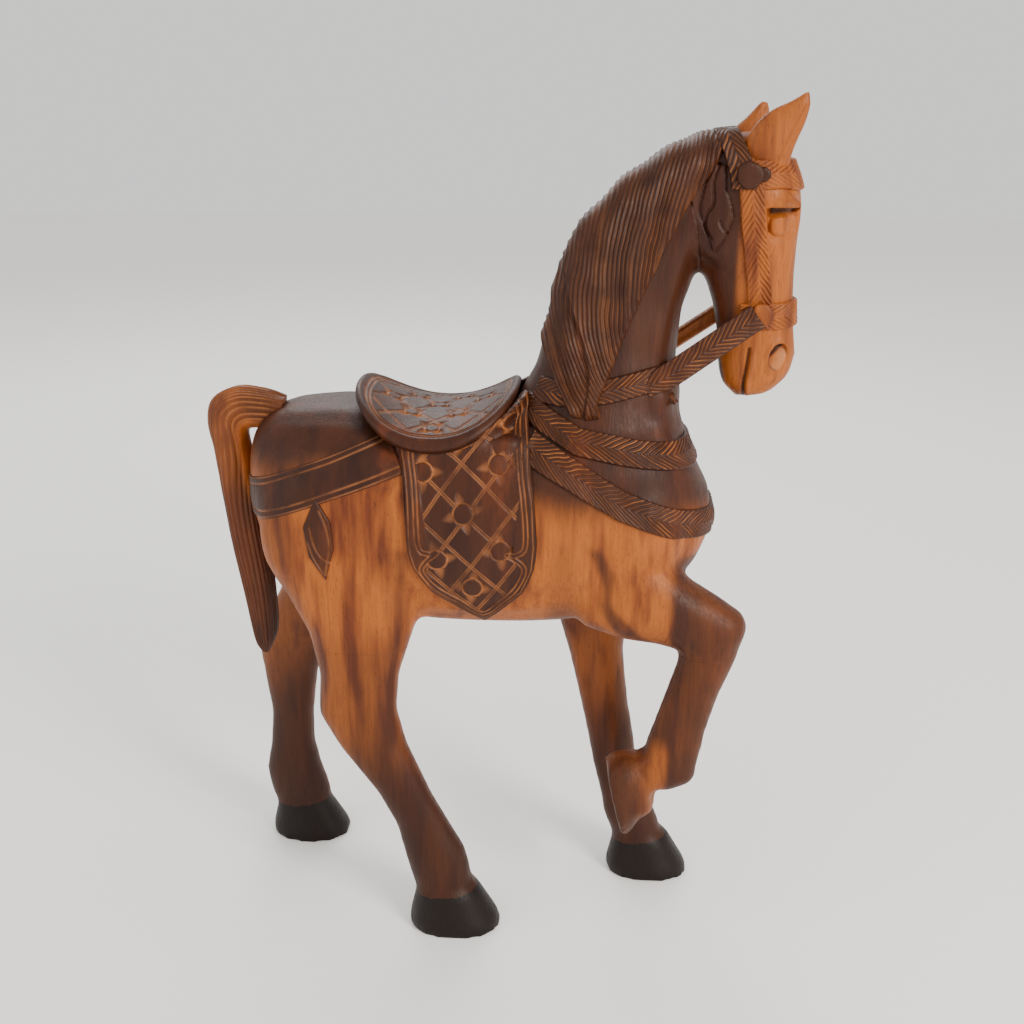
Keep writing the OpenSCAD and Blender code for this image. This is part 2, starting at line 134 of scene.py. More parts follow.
def add(tree, kind, settings=None, inputs=None):
    """One node with its settings and its inputs; an input given as a socket is linked."""
    node = tree.nodes.new(kind)
    for key, value in (settings or {}).items():
        setattr(node, key, value)
    for key, value in (inputs or {}).items():
        if isinstance(value, bpy.types.NodeSocket):
            tree.links.new(value, node.inputs[key])
        else:
            node.inputs[key].default_value = value
    return node


def ramp(tree, factor, stops):
    """A colour or value ramp through (place, colour) stops."""
    node = add(tree, "ShaderNodeValToRGB", inputs={"Fac": factor})
    points = node.color_ramp.elements
    while len(points) < len(stops):
        points.new(0.5)
    for point, (place, colour) in zip(points, stops):
        point.position = place
        point.color = colour if isinstance(colour, tuple) else (colour, colour, colour, 1)
    return node.outputs["Color"]


def mixed(tree, factor, under, over, blend="MIX"):
    """One colour laid over another."""
    return add(tree, "ShaderNodeMix", {"data_type": "RGBA", "blend_type": blend},
               {"Factor": factor, 6: under, 7: over}).outputs[2]


def noise(tree, place, scale, detail, roughness=0.5):
    """A cloudy pattern from 0 to 1; its scale counts the clouds in a metre."""
    return add(tree, "ShaderNodeTexNoise", inputs={"Vector": place, "Scale": scale, "Detail": detail,
                                                   "Roughness": roughness}).outputs["Fac"]


def stretched(tree, place, along):
    """Space drawn out along Z, the way the grain runs up the trunk."""
    return add(tree, "ShaderNodeMapping", inputs={"Vector": place, "Scale": (1, 1, along)}).outputs["Vector"]


def arithmetic(tree, operation, *values):
    """A sum on values or sockets."""
    return add(tree, "ShaderNodeMath", {"operation": operation}, dict(enumerate(values))).outputs[0]


def waxed_wood(name, sap, heart, figure, stain_and_shade, painted=False, cut=None, amount=1.0, rough=0.46,
               streaks=0.5):
    """Suar wood, carved, stained in places and waxed: long grain up the trunk, open pores,
    dark heartwood streaks, and pale wood where a tool has cut through the stain."""
    material = bpy.data.materials.new(name)
    material.use_nodes = True
    tree = material.node_tree
    tree.nodes.clear()
    place = add(tree, "ShaderNodeTexCoord").outputs["Object"]
    grain = stretched(tree, place, 0.16)
    sway = add(tree, "ShaderNodeTexNoise", inputs={"Vector": grain, "Scale": 7.0, "Detail": 2.0})
    bent = add(tree, "ShaderNodeVectorMath", {"operation": "MULTIPLY_ADD"},
               {0: sway.outputs["Color"], 1: (0.05, 0.05, 0.05), 2: grain}).outputs[0]
    # growth rings show as long arches, with broader bands of dark figure among them
    rings = noise(tree, bent, 26.0, 3.0, 0.6)
    bands = noise(tree, bent, 9.0, 1.0)
    fine = noise(tree, stretched(tree, place, 0.05), 420.0, 2.0)
    # open pores, under a millimetre wide and several long
    pores = noise(tree, stretched(tree, place, 0.17), 900.0, 1.0)
    colour = ramp(tree, rings, [(0.34, linear(heart)), (0.47, linear(sap)), (0.54, linear(sap)),
                                (0.68, linear(heart))])
    streak = ramp(tree, bands, [(0.5, 0.0), (0.5 + 0.14 * streaks, 0.0), (0.66 + 0.1 * streaks, 0.82)])
    colour = mixed(tree, streak, colour, linear(figure))
    colour = mixed(tree, 0.55, colour, ramp(tree, fine, [(0.3, 0.62), (0.7, 1.0)]), "MULTIPLY")
    colour = mixed(tree, 0.45, colour, ramp(tree, pores, [(0.28, 0.3), (0.38, 1.0)]), "MULTIPLY")
    depth = amount
    if painted:
        # the attribute read here holds the stain together with painted shade, and a pale patch of painted
        # sunlight on the raised foot
        stain_and_shade_mask = add(tree, "ShaderNodeAttribute", {"attribute_name": "stain_and_shade"}).outputs["Fac"]
        uneven = arithmetic(tree, "MULTIPLY_ADD", arithmetic(tree, "SUBTRACT", bands, 0.5), 1.1, stain_and_shade_mask)
        depth = add(tree, "ShaderNodeMapRange", {"interpolation_type": "SMOOTHSTEP"},
                    {"Value": uneven, "From Min": 0.12, "From Max": 0.82, "To Max": amount}).outputs[0]
    worn = noise(tree, grain, 22.0, 5.0, 0.65)
    stained = ramp(tree, worn, [(0.38, linear(stain_and_shade)), (0.56, linear("#301409")), (0.82, linear(heart))])
    colour = mixed(tree, depth, colour, stained)
    if painted:
        # the standing hooves go nearly black
        colour = mixed(tree, ramp(tree, stain_and_shade_mask, [(0.955, 0.0), (0.99, 0.92)]), colour, linear("#0d0705"))
    opened = add(tree, "ShaderNodeAttribute", {"attribute_name": "cut"}).outputs["Fac"]
    patchy = ramp(tree, noise(tree, place, 45.0, 3.0), [(0.35, 0.25), (0.6, 1.0)])
    colour = mixed(tree, arithmetic(tree, "MULTIPLY", opened, patchy), colour, linear(cut))
    shine = ramp(tree, fine, [(0.3, rough + 0.1), (0.7, rough - 0.04)])
    relief = arithmetic(tree, "MULTIPLY_ADD", pores, 0.6, fine)
    bump = add(tree, "ShaderNodeBump", inputs={"Height": relief, "Strength": 0.4, "Distance": 0.0006})
    surface = add(tree, "ShaderNodeBsdfPrincipled",
                  inputs={"Base Color": colour, "Roughness": shine, "Normal": bump.outputs[0],
                          "IOR": 1.5, "Specular IOR Level": 0.22})
    add(tree, "ShaderNodeOutputMaterial", inputs={"Surface": surface.outputs[0]})
    return material


def wood(key):
    """The finish called key, made once."""
    if key in bpy.data.materials:
        return bpy.data.materials[key]
    w = bpy.context.scene.horse_wood
    finish = {
        # body, neck and legs: golden where bare, brown where the stain was brushed on and where shade is painted
        # on the legs
        "waxed suar heartwood": dict(painted=True, amount=0.93, cut=w.cut),
        # the paler block of head and left foreleg
        "waxed suar sapwood": dict(painted=True, amount=0.93, streaks=1.0, cut=w.cut),
        # harness, saddle and mane: stained all over, then cut through
        "stained carved suar": dict(amount=0.94, rough=0.44, cut=w.cut),
        # bridle and ears: bare, darker in the cuts and in the ears' scooped hollows
        "carved suar sapwood": dict(amount=0.12, streaks=1.0, cut="#4e2611"),
        # the tail: pale ridges near the top, brown below; partly the wood's colour, partly painted sunlight above
        # and painted shade below
        "tail sapwood with painted sun and shade": dict(painted=True, amount=0.9, streaks=0.8, cut=w.cut),
    }[key]
    return waxed_wood(key, w.gold, w.tan, w.dark, w.stain_and_shade, **finish)


# ---- Carving tools ------------------------------------------------------------

def coordinates(mesh):
    co = np.empty(len(mesh.vertices) * 3)
    mesh.vertices.foreach_get("co", co)
    return co.reshape(-1, 3)


def normals(mesh):
    n = np.empty(len(mesh.vertices) * 3)
    mesh.vertices.foreach_get("normal", n)
    return n.reshape(-1, 3)


def set_coordinates(mesh, co):
    mesh.vertices.foreach_set("co", co.ravel())
    mesh.update()


def averager(mesh):
    """Function that moves every point to the middle of its neighbours."""
    edges = np.empty(len(mesh.edges) * 2, dtype=np.int64)
    mesh.edges.foreach_get("vertices", edges)
    a, b = edges.reshape(-1, 2).T
    count = len(mesh.vertices)
    degree = np.bincount(a, minlength=count) + np.bincount(b, minlength=count)

    def average(p):
        return np.stack([(np.bincount(a, p[b, i], count) + np.bincount(b, p[a, i], count)) / degree
                         for i in range(p.shape[1])], axis=1)
    return average


def rasp(mesh, rounds):
    """Wears facets away and keeps the volume; the hooves keep their crisp lower edges."""
    average = averager(mesh)
    start = coordinates(mesh)
    p = start.copy()
    for i in range(rounds):
        q = average(p)
        slip = q - p
        p = q - (0.55 * slip + 0.45 * average(slip))
        if i == 12:
            crisp = p.copy()
    x, y, z = (start / MM).T
    hoof = np.clip((30 - z) / 12, 0, 1)
    raised = np.clip((137 - x) / 6, 0, 1) * np.clip((x - 100) / 5, 0, 1) * np.clip((190 - z) / 10, 0, 1)
    kept = np.maximum(hoof, raised * (y < -20) * (z > 85))[:, None]
    p = crisp * kept + p * (1 - kept)
    # the soles lie flat
    p[:, 2] = p[:, 2] * step(p[:, 2] / (4.5 * MM))
    set_coordinates(mesh, p)


def shown(name, mesh, *replaced, material, slot):
    """The finished piece: rides on the horse's one body and stands for its CAD nodes."""
    obj = bpy.data.objects.new(name, mesh)
    bpy.context.scene.collection.objects.link(obj)
    mesh.materials.clear()
    mesh.materials.append(wood(material))
    mesh.shade_smooth()
    if replaced[0] in BODY_BLOCKS:
        paint(mesh, stain_and_shade_of(coordinates(mesh)))
    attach(obj, BODY)
    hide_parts(*replaced)
    return obj


def with_modifiers(mesh, *settings):
    """A mesh after the modifiers, each given as (kind, {setting: value})."""
    obj = bpy.data.objects.new("bench", mesh)
    bpy.context.scene.collection.objects.link(obj)
    for kind, values in settings:
        modifier = obj.modifiers.new(kind, kind)
        for key, value in values.items():
            setattr(modifier, key, value)
    made = bpy.data.meshes.new_from_object(obj.evaluated_get(bpy.context.evaluated_depsgraph_get()))
    bpy.data.objects.remove(obj)
    return made


def joined_nodes(names):
    """One loose mesh of copies of the CAD nodes."""
    bm = bmesh.new()
    for name in names:
        bm.from_mesh(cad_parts[name].data)
    bmesh.ops.remove_doubles(bm, verts=bm.verts, dist=1e-6)
    mesh = bpy.data.meshes.new("joined")
    bm.to_mesh(mesh)
    bm.free()
    return mesh


def tilted(slope):
    """Direction that a joint face looks along."""
    return Vector((math.sin(slope), 0, math.cos(slope)))


def cut_away(bm, point, direction):
    """Saws off what lies beyond a joint face and closes the sawn face."""
    made = bmesh.ops.bisect_plane(bm, geom=bm.verts[:] + bm.edges[:] + bm.faces[:], dist=1e-6,
                                  plane_co=point, plane_no=direction, clear_outer=True)
    rim = [e for e in made["geom_cut"] if isinstance(e, bmesh.types.BMEdge)]
    bmesh.ops.holes_fill(bm, edges=[e for e in rim if e.is_boundary], sides=0)


def block(mesh, keep, *cuts):
    """The part of the body near keep(co), after the saw cuts."""
    bm = bmesh.new()
    bm.from_mesh(mesh)
    co = coordinates(mesh)
    wanted = keep(co)
    bm.verts.ensure_lookup_table()
    bmesh.ops.delete(bm, geom=[bm.verts[i] for i in np.nonzero(~wanted)[0]], context="VERTS")
    for point, direction in cuts:
        cut_away(bm, point, direction)
    made = bpy.data.meshes.new("block")
    bm.to_mesh(made)
    bm.free()
    return made


def wedge_out(mesh, *planes):
    """The block without the wedge that lies beyond all the given planes; the seat left is closed."""
    bm = bmesh.new()
    bm.from_mesh(mesh)
    for point, direction in planes:
        bmesh.ops.bisect_plane(bm, geom=bm.verts[:] + bm.edges[:] + bm.faces[:], dist=1e-6,
                               plane_co=point, plane_no=direction)

    def beyond(face):
        middle = face.calc_center_median()
        return all((middle - Vector(point)).dot(direction) > 0 for point, direction in planes)
    gone = [face for face in bm.faces if beyond(face)]
    bmesh.ops.delete(bm, geom=gone, context="FACES")
    bmesh.ops.holes_fill(bm, edges=[e for e in bm.edges if e.is_boundary], sides=0)
    made = bpy.data.meshes.new("block")
    bm.to_mesh(made)
    bm.free()
    return made


def rough_out():
    """The whole horse without its harness, roughed out of the CAD blocks and worn smooth."""
    size = bpy.context.scene.horse_blocks
    mesh = joined_nodes(BODY_BLOCKS + [d for d in DOWELS if d not in ("tail_peg", "ear_pegs")])
    mesh = with_modifiers(mesh, ("REMESH", {"mode": "VOXEL", "voxel_size": size.rough}))
    rasp(mesh, size.rounds)
    mesh = with_modifiers(mesh, ("SUBSURF", {"levels": 1, "render_levels": 1}))
    work["body"] = mesh
    work["tree"] = BVHTree.FromPolygons([v.co[:] for v in mesh.vertices],
                                        [p.vertices[:] for p in mesh.polygons])
    return mesh


# ---- Relief: a skin taken off the body, raised and cut ------------------------

def hit(origin, direction):
    """Where a ray meets the body, if it does."""
    at = work["tree"].ray_cast(Vector(origin), Vector(direction).normalized())[0]
    return np.array(at) if at is not None else None


def spread(grid, rows, columns):
    """The grid again with its points evenly spaced along every row and column."""
    def along(g, count):
        step = np.linalg.norm(np.diff(g, axis=0), axis=2).mean(axis=1)
        s = np.concatenate([[0], np.cumsum(step)])
        at = np.linspace(0, s[-1], count)
        return np.stack([np.stack([np.interp(at, s, g[:, j, k]) for k in range(3)], axis=1)
                         for j in range(g.shape[1])], axis=1)
    return along(along(grid, rows).transpose(1, 0, 2), columns).transpose(1, 0, 2)


def eased(grid, rounds=2):
    """The grid with its small steps worn away and its border kept."""
    g = grid.copy()
    for _ in range(rounds):
        g[1:-1] = 0.5 * g[1:-1] + 0.25 * (g[:-2] + g[2:])
        g[:, 1:-1] = 0.5 * g[:, 1:-1] + 0.25 * (g[:, :-2] + g[:, 2:])
    return g


def facing(grid):
    """Unit normals of a grid."""
    n = np.cross(np.gradient(grid, axis=0), np.gradient(grid, axis=1))
    return n / np.maximum(np.linalg.norm(n, axis=2, keepdims=True), 1e-12)


def measures(grid):
    """Distances along the rows' middle line, and across from it, in metres."""
    middle = grid[:, grid.shape[1] // 2]
    s = np.concatenate([[0], np.cumsum(np.linalg.norm(np.diff(middle, axis=0), axis=1))])
    step = np.linalg.norm(np.diff(grid, axis=1), axis=2)
    w = np.concatenate([np.zeros((grid.shape[0], 1)), np.cumsum(step, axis=1)], axis=1)
    return s[:, None] + 0 * w, w - w[:, -1:] / 2, w[:, -1:] / 2 + 0 * w


def sheet(name, base, height, cut=None, embed=3 * MM, outward=None, low=None):
    """A closed mesh: the base grid raised by height on top; its hidden underside is a coarser grid."""
    n = facing(base)
    if outward is not None and (n * outward).sum() < 0:
        base, height = base[:, ::-1], height[:, ::-1]
        cut = cut[:, ::-1] if cut is not None else None
        low = low[:, ::-1] if low is not None else None
        n = facing(base)
    rows, columns = height.shape
    top = base + n * height[..., None]
    low = base - n * embed if low is None else low
    every = 5
    r = np.unique(np.append(np.arange(0, rows, every), rows - 1))
    c = np.unique(np.append(np.arange(0, columns, every), columns - 1))
    low = low[np.ix_(r, c)]
    co = np.concatenate([top.reshape(-1, 3), low.reshape(-1, 3)])

    def quads(rows, columns, first):
        i, j = np.meshgrid(np.arange(rows - 1), np.arange(columns - 1), indexing="ij")
        a = first + (i * columns + j).ravel()
        return np.stack([a, a + columns, a + columns + 1, a + 1], axis=1)
    faces = quads(rows, columns, 0).tolist()
    faces += quads(len(r), len(c), rows * columns)[:, ::-1].tolist()
    # the wall: each side of the underside's border meets a run of points of the top's border
    place = {}
    for i, row in enumerate(r):
        for j, column in enumerate(c):
            place[row * columns + column] = rows * columns + i * len(c) + j
    rim = np.concatenate([np.arange(columns), np.arange(1, rows) * columns + columns - 1,
                          (rows - 1) * columns + np.arange(columns - 2, -1, -1),
                          np.arange(rows - 2, -1, -1) * columns]).tolist()
    run = [rim[0]]
    for point in rim[1:]:
        run.append(point)
        if point in place:
            faces.append(run + [place[point], place[run[0]]])
            run = [point]
    mesh = bpy.data.meshes.new(name)
    mesh.from_pydata(co.tolist(), [], faces)
    mark = mesh.attributes.new("cut", "FLOAT", "POINT")
    values = np.zeros(len(co))
    if cut is not None:
        values[:rows * columns] = np.clip(cut, 0, 1).ravel()
    mark.data.foreach_set("value", values)
    mesh.update()
    return mesh


def merged(name, *meshes):
    """Several meshes as one."""
    bm = bmesh.new()
    for mesh in meshes:
        bm.from_mesh(mesh)
    made = bpy.data.meshes.new(name)
    bm.to_mesh(made)
    bm.free()
    return made


def vee(distance, width):
    """Depth, 0 to 1, of a V cut at a distance from its line."""
    return np.clip(1 - np.abs(distance) / width, 0, 1)


def chance(i, salt=0.0):
    """A steady number from 0 to 1 for a whole number."""
    return np.modf(np.abs(np.sin(i * 12.9898 + salt) * 43758.5453))[0]


def wander(x, y, scale, salt=0.0):
    """Smooth hand-made unevenness between -1 and 1."""
    return (np.sin(x / scale + salt) * np.cos(y / scale * 1.3 + 2 * salt)
            + 0.6 * np.sin(1.9 * x / scale + 1.7 * y / scale + 3 * salt)) / 1.6


def along_line(line, x):
    """Height of a side-view line of (x, z) points in drawn millimetres, in metres, at x in metres."""
    points = np.array(line, dtype=float)
    return at_size(0, np.interp(x, at_size(points[:, 0], 0)[0], points[:, 1]))[1]


def at_size(x, z):
    """Drawn millimetres to metres at the finished size."""
    return (np.asarray(x) + FORE) * DRAWN, np.asarray(z) * DRAWN


def plait(base, relief, apex=1, angle=31, salt=0.0, mirror=False):
    """Height and cut of a strap carved as two rows of V cuts that meet along its middle."""
    c = bpy.context.scene.horse_carving
    s, w, half = measures(base)
    along = apex * (np.abs(s - s.max() / 2) if mirror else s)
    side = np.sign(w)
    lean = 1 / math.tan(math.radians(angle))
    p = (along - np.abs(w) * lean) * math.sin(math.radians(angle)) / c.gouge_pitch
    p = p + 0.22 * wander(s, w, 9 * MM, salt) + 0.06 * np.sin(s / (3 * MM) + salt)
    number = np.floor(p) + 50 * side
    phase = p - np.floor(p)
    deep = 0.75 + 0.5 * chance(number, salt)
    groove = vee(phase - 0.5, 0.34) * deep
    edge = np.clip((half - np.abs(w)) / (1.6 * MM), 0, 1)
    centre = 0.6 + 0.4 * step(np.abs(w) / (1.6 * MM))
    groove = groove * edge * centre
    height = relief * (1 - 0.55 * (1 - edge) ** 2) - c.gouge_depth * groove
    height = height + 0.25 * MM * wander(s, w, 14 * MM, salt + 1)
    return height, groove ** 3 * (0.35 + 0.65 * chance(number, salt + 4))


def band_round(line, width, axis, turn, samples=120, across=7, from_x=-1.0):
    """Skin under a strap that runs round an upright axis, its middle on a side-view line."""
    half = width / 2
    reach = 0.45
    rows = []
    ax, ay = axis
    for angle in np.linspace(turn[0], turn[1], samples):
        way = np.array([math.cos(angle), math.sin(angle), 0])
        start = np.array([ax, ay, 0]) + reach * way
        row = []
        for v in np.linspace(-half, half, across):
            x, z = ax, along_line(line, ax)
            at = None
            for _ in range(4):
                slope = (along_line(line, x + 3 * MM) - along_line(line, x - 3 * MM)) / (6 * MM)
                z = along_line(line, x) + v * math.sqrt(1 + slope * slope)
                found = hit((start[0], start[1], z), -way)
                if found is None:
                    break
                at, x = found, found[0]
            row.append(at)
        if all(p is not None for p in row) and row[across // 2][0] > from_x:
            rows.append(row)
    return np.array(rows)


def strap(name, base, relief=None, **kind):
    """A plaited strap on a skin."""
    relief = relief or bpy.context.scene.horse_carving.strap_relief
    length = np.linalg.norm(np.diff(base[:, base.shape[1] // 2], axis=0), axis=1).sum()
    width = np.linalg.norm(np.diff(base[base.shape[0] // 2], axis=0), axis=1).sum()
    base = eased(spread(eased(base), int(length / PLAIT_GRID), int(width / PLAIT_GRID) | 1), 3)
    height, groove = plait(base, relief, **kind)
    return sheet(name, base, height, groove, outward=base - heart_of(base))


def heart_of(base):
    """A point inside the body level with the strap."""
    return np.array([0.5 * (base[..., 0].min() + base[..., 0].max()), 0, base[..., 2].mean()])


# ---- Lines and patterns of the carving, side view, [x, z] in drawn millimetres ----

UPPER_BREAST = [[16, 536], [34, 526], [76, 504], [126, 494], [180, 485], [220, 480]]
LOWER_BREAST = [[18, 504], [36, 495], [72, 476], [116, 449], [166, 428], [220, 412]]
NECK_REIN = [[14, 546], [60, 543], [100, 547], [140, 556], [172, 563]]
NOSE = [[200, 611], [232, 612], [255, 612], [290, 614]]
BROW = [[190, 736], [218, 736], [250, 736], [290, 729]]
CHEEK = [[220, 740], [225, 690], [233, 640], [237, 608]]
FLAP = [[-86, 520], [-81, 470], [-77, 404], [-73, 388], [-58, 367], [-34, 349], [-9, 330],
        [10, 348], [28, 366], [38, 388], [41, 411], [38, 454], [32, 500], [29, 522], [23, 560]]
FLOWERS = [(-63, 477), (5, 484), (-26, 441), (-50, 398), (8, 408), (-18, 371), (-29, 509), (14, 519)]
# the border of the flap runs down inside its edge, hooks inward, and sweeps to the point
FLAP_BORDER = [[-76, 520], [-71, 470], [-67, 414], [-58, 404], [-50, 405], [-60, 396], [-64, 386],
               [-52, 371], [-31, 357], [-10, 342], [8, 357], [21, 371], [29, 388], [25, 397], [14, 404],
               [22, 404], [31, 414], [28, 454], [22, 500], [19, 522], [13, 560]]


def drawn(grid):
    """Side-view x and z of a grid in drawn millimetres."""
    return grid[..., 0] / DRAWN - FORE, grid[..., 2] / DRAWN


def line_distance(x, z, points):
    """Distance from each (x, z) to a line through the points."""
    best = np.full(np.shape(x), 1e9)
    p = np.array(points, dtype=float)
    for a, b in zip(p[:-1], p[1:]):
        d = b - a
        t = np.clip(((x - a[0]) * d[0] + (z - a[1]) * d[1]) / (d @ d), 0, 1)
        best = np.minimum(best, np.hypot(x - a[0] - t * d[0], z - a[1] - t * d[1]))
    return best


def rounded_line(points, steps=5):
    """A line through the points, eased by a Catmull-Rom curve."""
    p = np.array(points, dtype=float)
    made = []
    for i in range(len(p) - 1):
        a, b, c, d = p[max(i - 1, 0)], p[i], p[i + 1], p[min(i + 2, len(p) - 1)]
        for t in np.arange(steps) / steps:
            made.append(0.5 * (2 * b + (c - a) * t + (2 * a - 5 * b + 4 * c - d) * t ** 2
                               + (3 * b - a - 3 * c + d) * t ** 3))
    return np.array(made + [p[-1]])


def flower(x, z, cx, cz, r=9.0, turned=0.0):
    """Depth of a flower's cuts: a ring round a flat disc and four scooped petals, in millimetres."""
    dx, dz = x - cx, z - cz
    away = np.hypot(dx, dz)
    ring = 1.5 * vee(away - r, 1.5)
    deep = np.zeros_like(away)
    for k in range(4):
        angle = turned + k * math.pi / 2
        t = (dx * math.cos(angle) + dz * math.sin(angle) - r) / 11.0
        w = np.abs(-dx * math.sin(angle) + dz * math.cos(angle))
        wide = 6.0 * np.clip(1 - t, 0, 1) ** 0.6 * np.clip(t * 6 + 0.5, 0, 1) + 1e-6
        scoop = np.clip(1 - (w / wide) ** 2, 0, 1) * (t > -0.1) * (t < 1)
        deep = np.maximum(deep, 2.6 * scoop * np.clip(1.05 - t, 0, 1))
    return ring, deep, away


def flap_carving(base):
    x, z = drawn(base)
    relief = 5.0
    x = x + 0.5 * wander(x, z, 17.0)
    z = z + 0.5 * wander(z, x, 19.0, 2)
    edge = line_distance(x, z, FLAP)
    edge = np.where(z > 500, np.minimum(np.abs(x - np.interp(z, [500, 522], [-84, -86])),
                                        np.abs(x - np.interp(z, [500, 522, 560], [32, 29, 23]))), edge)
    border = line_distance(x, z, rounded_line(FLAP_BORDER, 4))
    left = np.interp(z, [342, 357, 371, 386, 404, 470, 522], [-10, -31, -52, -64, -60, -71, -76])
    right = np.interp(z, [342, 357, 371, 388, 404, 454, 522, 560], [-10, 8, 21, 29, 22, 28, 19, 13])
    inside = np.clip((np.minimum(x - left, right - x) - 3.0) / 1.0, 0, 1)
    grooves = np.maximum(1.5 * vee(border - 1.9, 1.3), 1.1 * vee(edge - 3.0, 1.1) * (edge < 4.5))
    q1 = -math.sin(math.radians(53.6)) * x + math.cos(math.radians(53.6)) * z
    q2 = math.sin(math.radians(42.6)) * x + math.cos(math.radians(42.6)) * z
    lattice = np.zeros_like(x)
    for q, phase, pitch in ((q1, 310.3, 31.0), (q2, 338.0, 31.0)):
        away = np.abs((q - phase + pitch / 2) % pitch - pitch / 2)
        lattice = np.maximum(lattice, np.maximum(1.15 * vee(away - 1.1, 1.1), 0.6 * vee(away, 1.2)))
    cuts = lattice * inside
    petals = np.zeros_like(x)
    for i, (cx, cz) in enumerate(FLOWERS):
        ring, deep, away = flower(x, z, cx, cz, turned=0.3 * math.sin(7 * i))
        keep = np.clip((away - 9.5) / 1.0, 0, 1)
        cuts = np.maximum(cuts * keep, ring * inside)
        petals = np.maximum(petals, deep * inside)
    depth = np.maximum(np.maximum(cuts, petals), grooves)
    rim = np.clip(edge / 2.6, 0, 1)
    sunk = 0.9 * inside
    uneven = 0.18 * wander(x, z, 6.0, 1)
    height = (relief * (0.35 + 0.65 * np.sqrt(1 - (1 - rim) ** 2)) - sunk - depth + uneven) * MM
    bare = np.maximum(0.75 * np.clip(cuts, 0, 1) ** 2, 0.6 * np.clip(grooves, 0, 1) ** 2)
    return height, np.clip(np.maximum(bare, 0.24 * petals), 0, 1)


# the seat: its middle, half length, half width, and the height of the lowest point of its hollow
SEAT_MIDDLE, SEAT_LENGTH, SEAT_WIDTH, SEAT_FLOOR = -57.0, 77.0, 90.0, 519.0
SEAT_SQUARENESS = 2.6


def seat_half_width(x):
    """Half width of the seat above a point along it."""
    along = np.clip(np.abs(x - SEAT_MIDDLE) / SEAT_LENGTH, 0, 1)
    return SEAT_WIDTH * (1 - along ** SEAT_SQUARENESS) ** (1 / SEAT_SQUARENESS)


def seat_hollow(x, y):
    """Height of the hollow: it rises to pommel and cantle and falls away to the sides."""
    return SEAT_FLOOR + 0.0045 * (x - SEAT_MIDDLE) ** 2 - 0.0016 * y ** 2


def seat_mesh():
    """The dished seat: a rolled rim, two cut lines inside it, then lattice, discs and petals."""
    thick = 11.0
    u = np.sin(np.linspace(-math.pi / 2, math.pi / 2, 210)) * 0.9995
    xs = SEAT_MIDDLE + SEAT_LENGTH * u
    v = np.sin(np.linspace(-math.pi / 2, math.pi / 2, 250))
    x = np.repeat(xs[:, None], len(v), axis=1)
    y = seat_half_width(xs)[:, None] * v[None, :]
    z = seat_hollow(x, y)
    # distance in from the rim, along the shorter way
    rx = (x - SEAT_MIDDLE) / SEAT_LENGTH
    ry = y / SEAT_WIDTH
    level = (np.abs(rx) ** 2.6 + np.abs(ry) ** 2.6) ** (1 / 2.6)
    slope = np.hypot(np.abs(rx) ** 1.6 / SEAT_LENGTH, np.abs(ry) ** 1.6 / SEAT_WIDTH)
    edge = (1 - level) / np.maximum(slope * np.maximum(level, 0.2) ** -1.6, 1 / 100)
    rim = np.clip(edge / 5.0, 0, 1)
    roll = -5.5 * (1 - np.sqrt(1 - (1 - rim) ** 2)) + 1.2 * np.exp(-((edge - 5.5) / 3.0) ** 2)
    lines = 1.6 * np.maximum(vee(edge - 9.5, 1.4), vee(edge - 13.0, 1.3))
    inside = np.clip((edge - 15.0) / 1.0, 0, 1)
    q1, q2 = (x + 0.9 * y) * 0.743, (x - 0.9 * y) * 0.743
    lattice = np.zeros_like(x)
    for q in (q1, q2):
        away = np.abs((q + 10 + 16) % 32.0 - 16)
        lattice = np.maximum(lattice, np.maximum(1.1 * vee(away - 1.1, 1.1), 0.5 * vee(away, 1.2)))
    cuts = lattice * inside
    petals = np.zeros_like(x)
    for cx in (-100, -57, -14):
        for j, cy in enumerate((-62, -31, 0, 31, 62)):
            dx = cx + (21 if j % 2 else 0)
            if abs((dx - SEAT_MIDDLE) / 62) ** 2.6 + abs(cy / 74) ** 2.6 > 1:
                continue
            ring, deep, away = flower(x, y, dx, cy, r=7.0, turned=0.785)
            cuts = np.maximum(cuts * np.clip((away - 7.4) / 1.0, 0, 1), ring * inside)
            petals = np.maximum(petals, deep * inside)
    depth = np.maximum(np.maximum(cuts, petals), lines)
    z = z + roll - depth + 0.15 * wander(x, y, 7.0)
    sx, sz = at_size(x, z)
    top = np.stack([sx, y * DRAWN, sz], axis=2)
    bare = np.maximum(0.7 * np.clip(cuts, 0, 1) ** 2, np.maximum(0.2 * petals, 0.45 * lines))
    grooves = np.clip(bare, 0, 1)
    smooth = at_size(x, seat_hollow(x, y) - thick)[1]
    inner = 1 - 0.03 * (1 - rim)
    low_co = np.stack([at_size(SEAT_MIDDLE + (x - SEAT_MIDDLE) * inner, 0)[0], y * inner * DRAWN, smooth], axis=2)
    return sheet("seat", top, np.zeros(top.shape[:2]), grooves, outward=np.array([0, 0, 1]), low=low_co)


def between(points, t):
    """The place at a fractional index along a list of points."""
    points = np.array(points, dtype=float)
    return np.array([np.interp(t, np.arange(len(points)), points[:, i]) for i in range(2)])


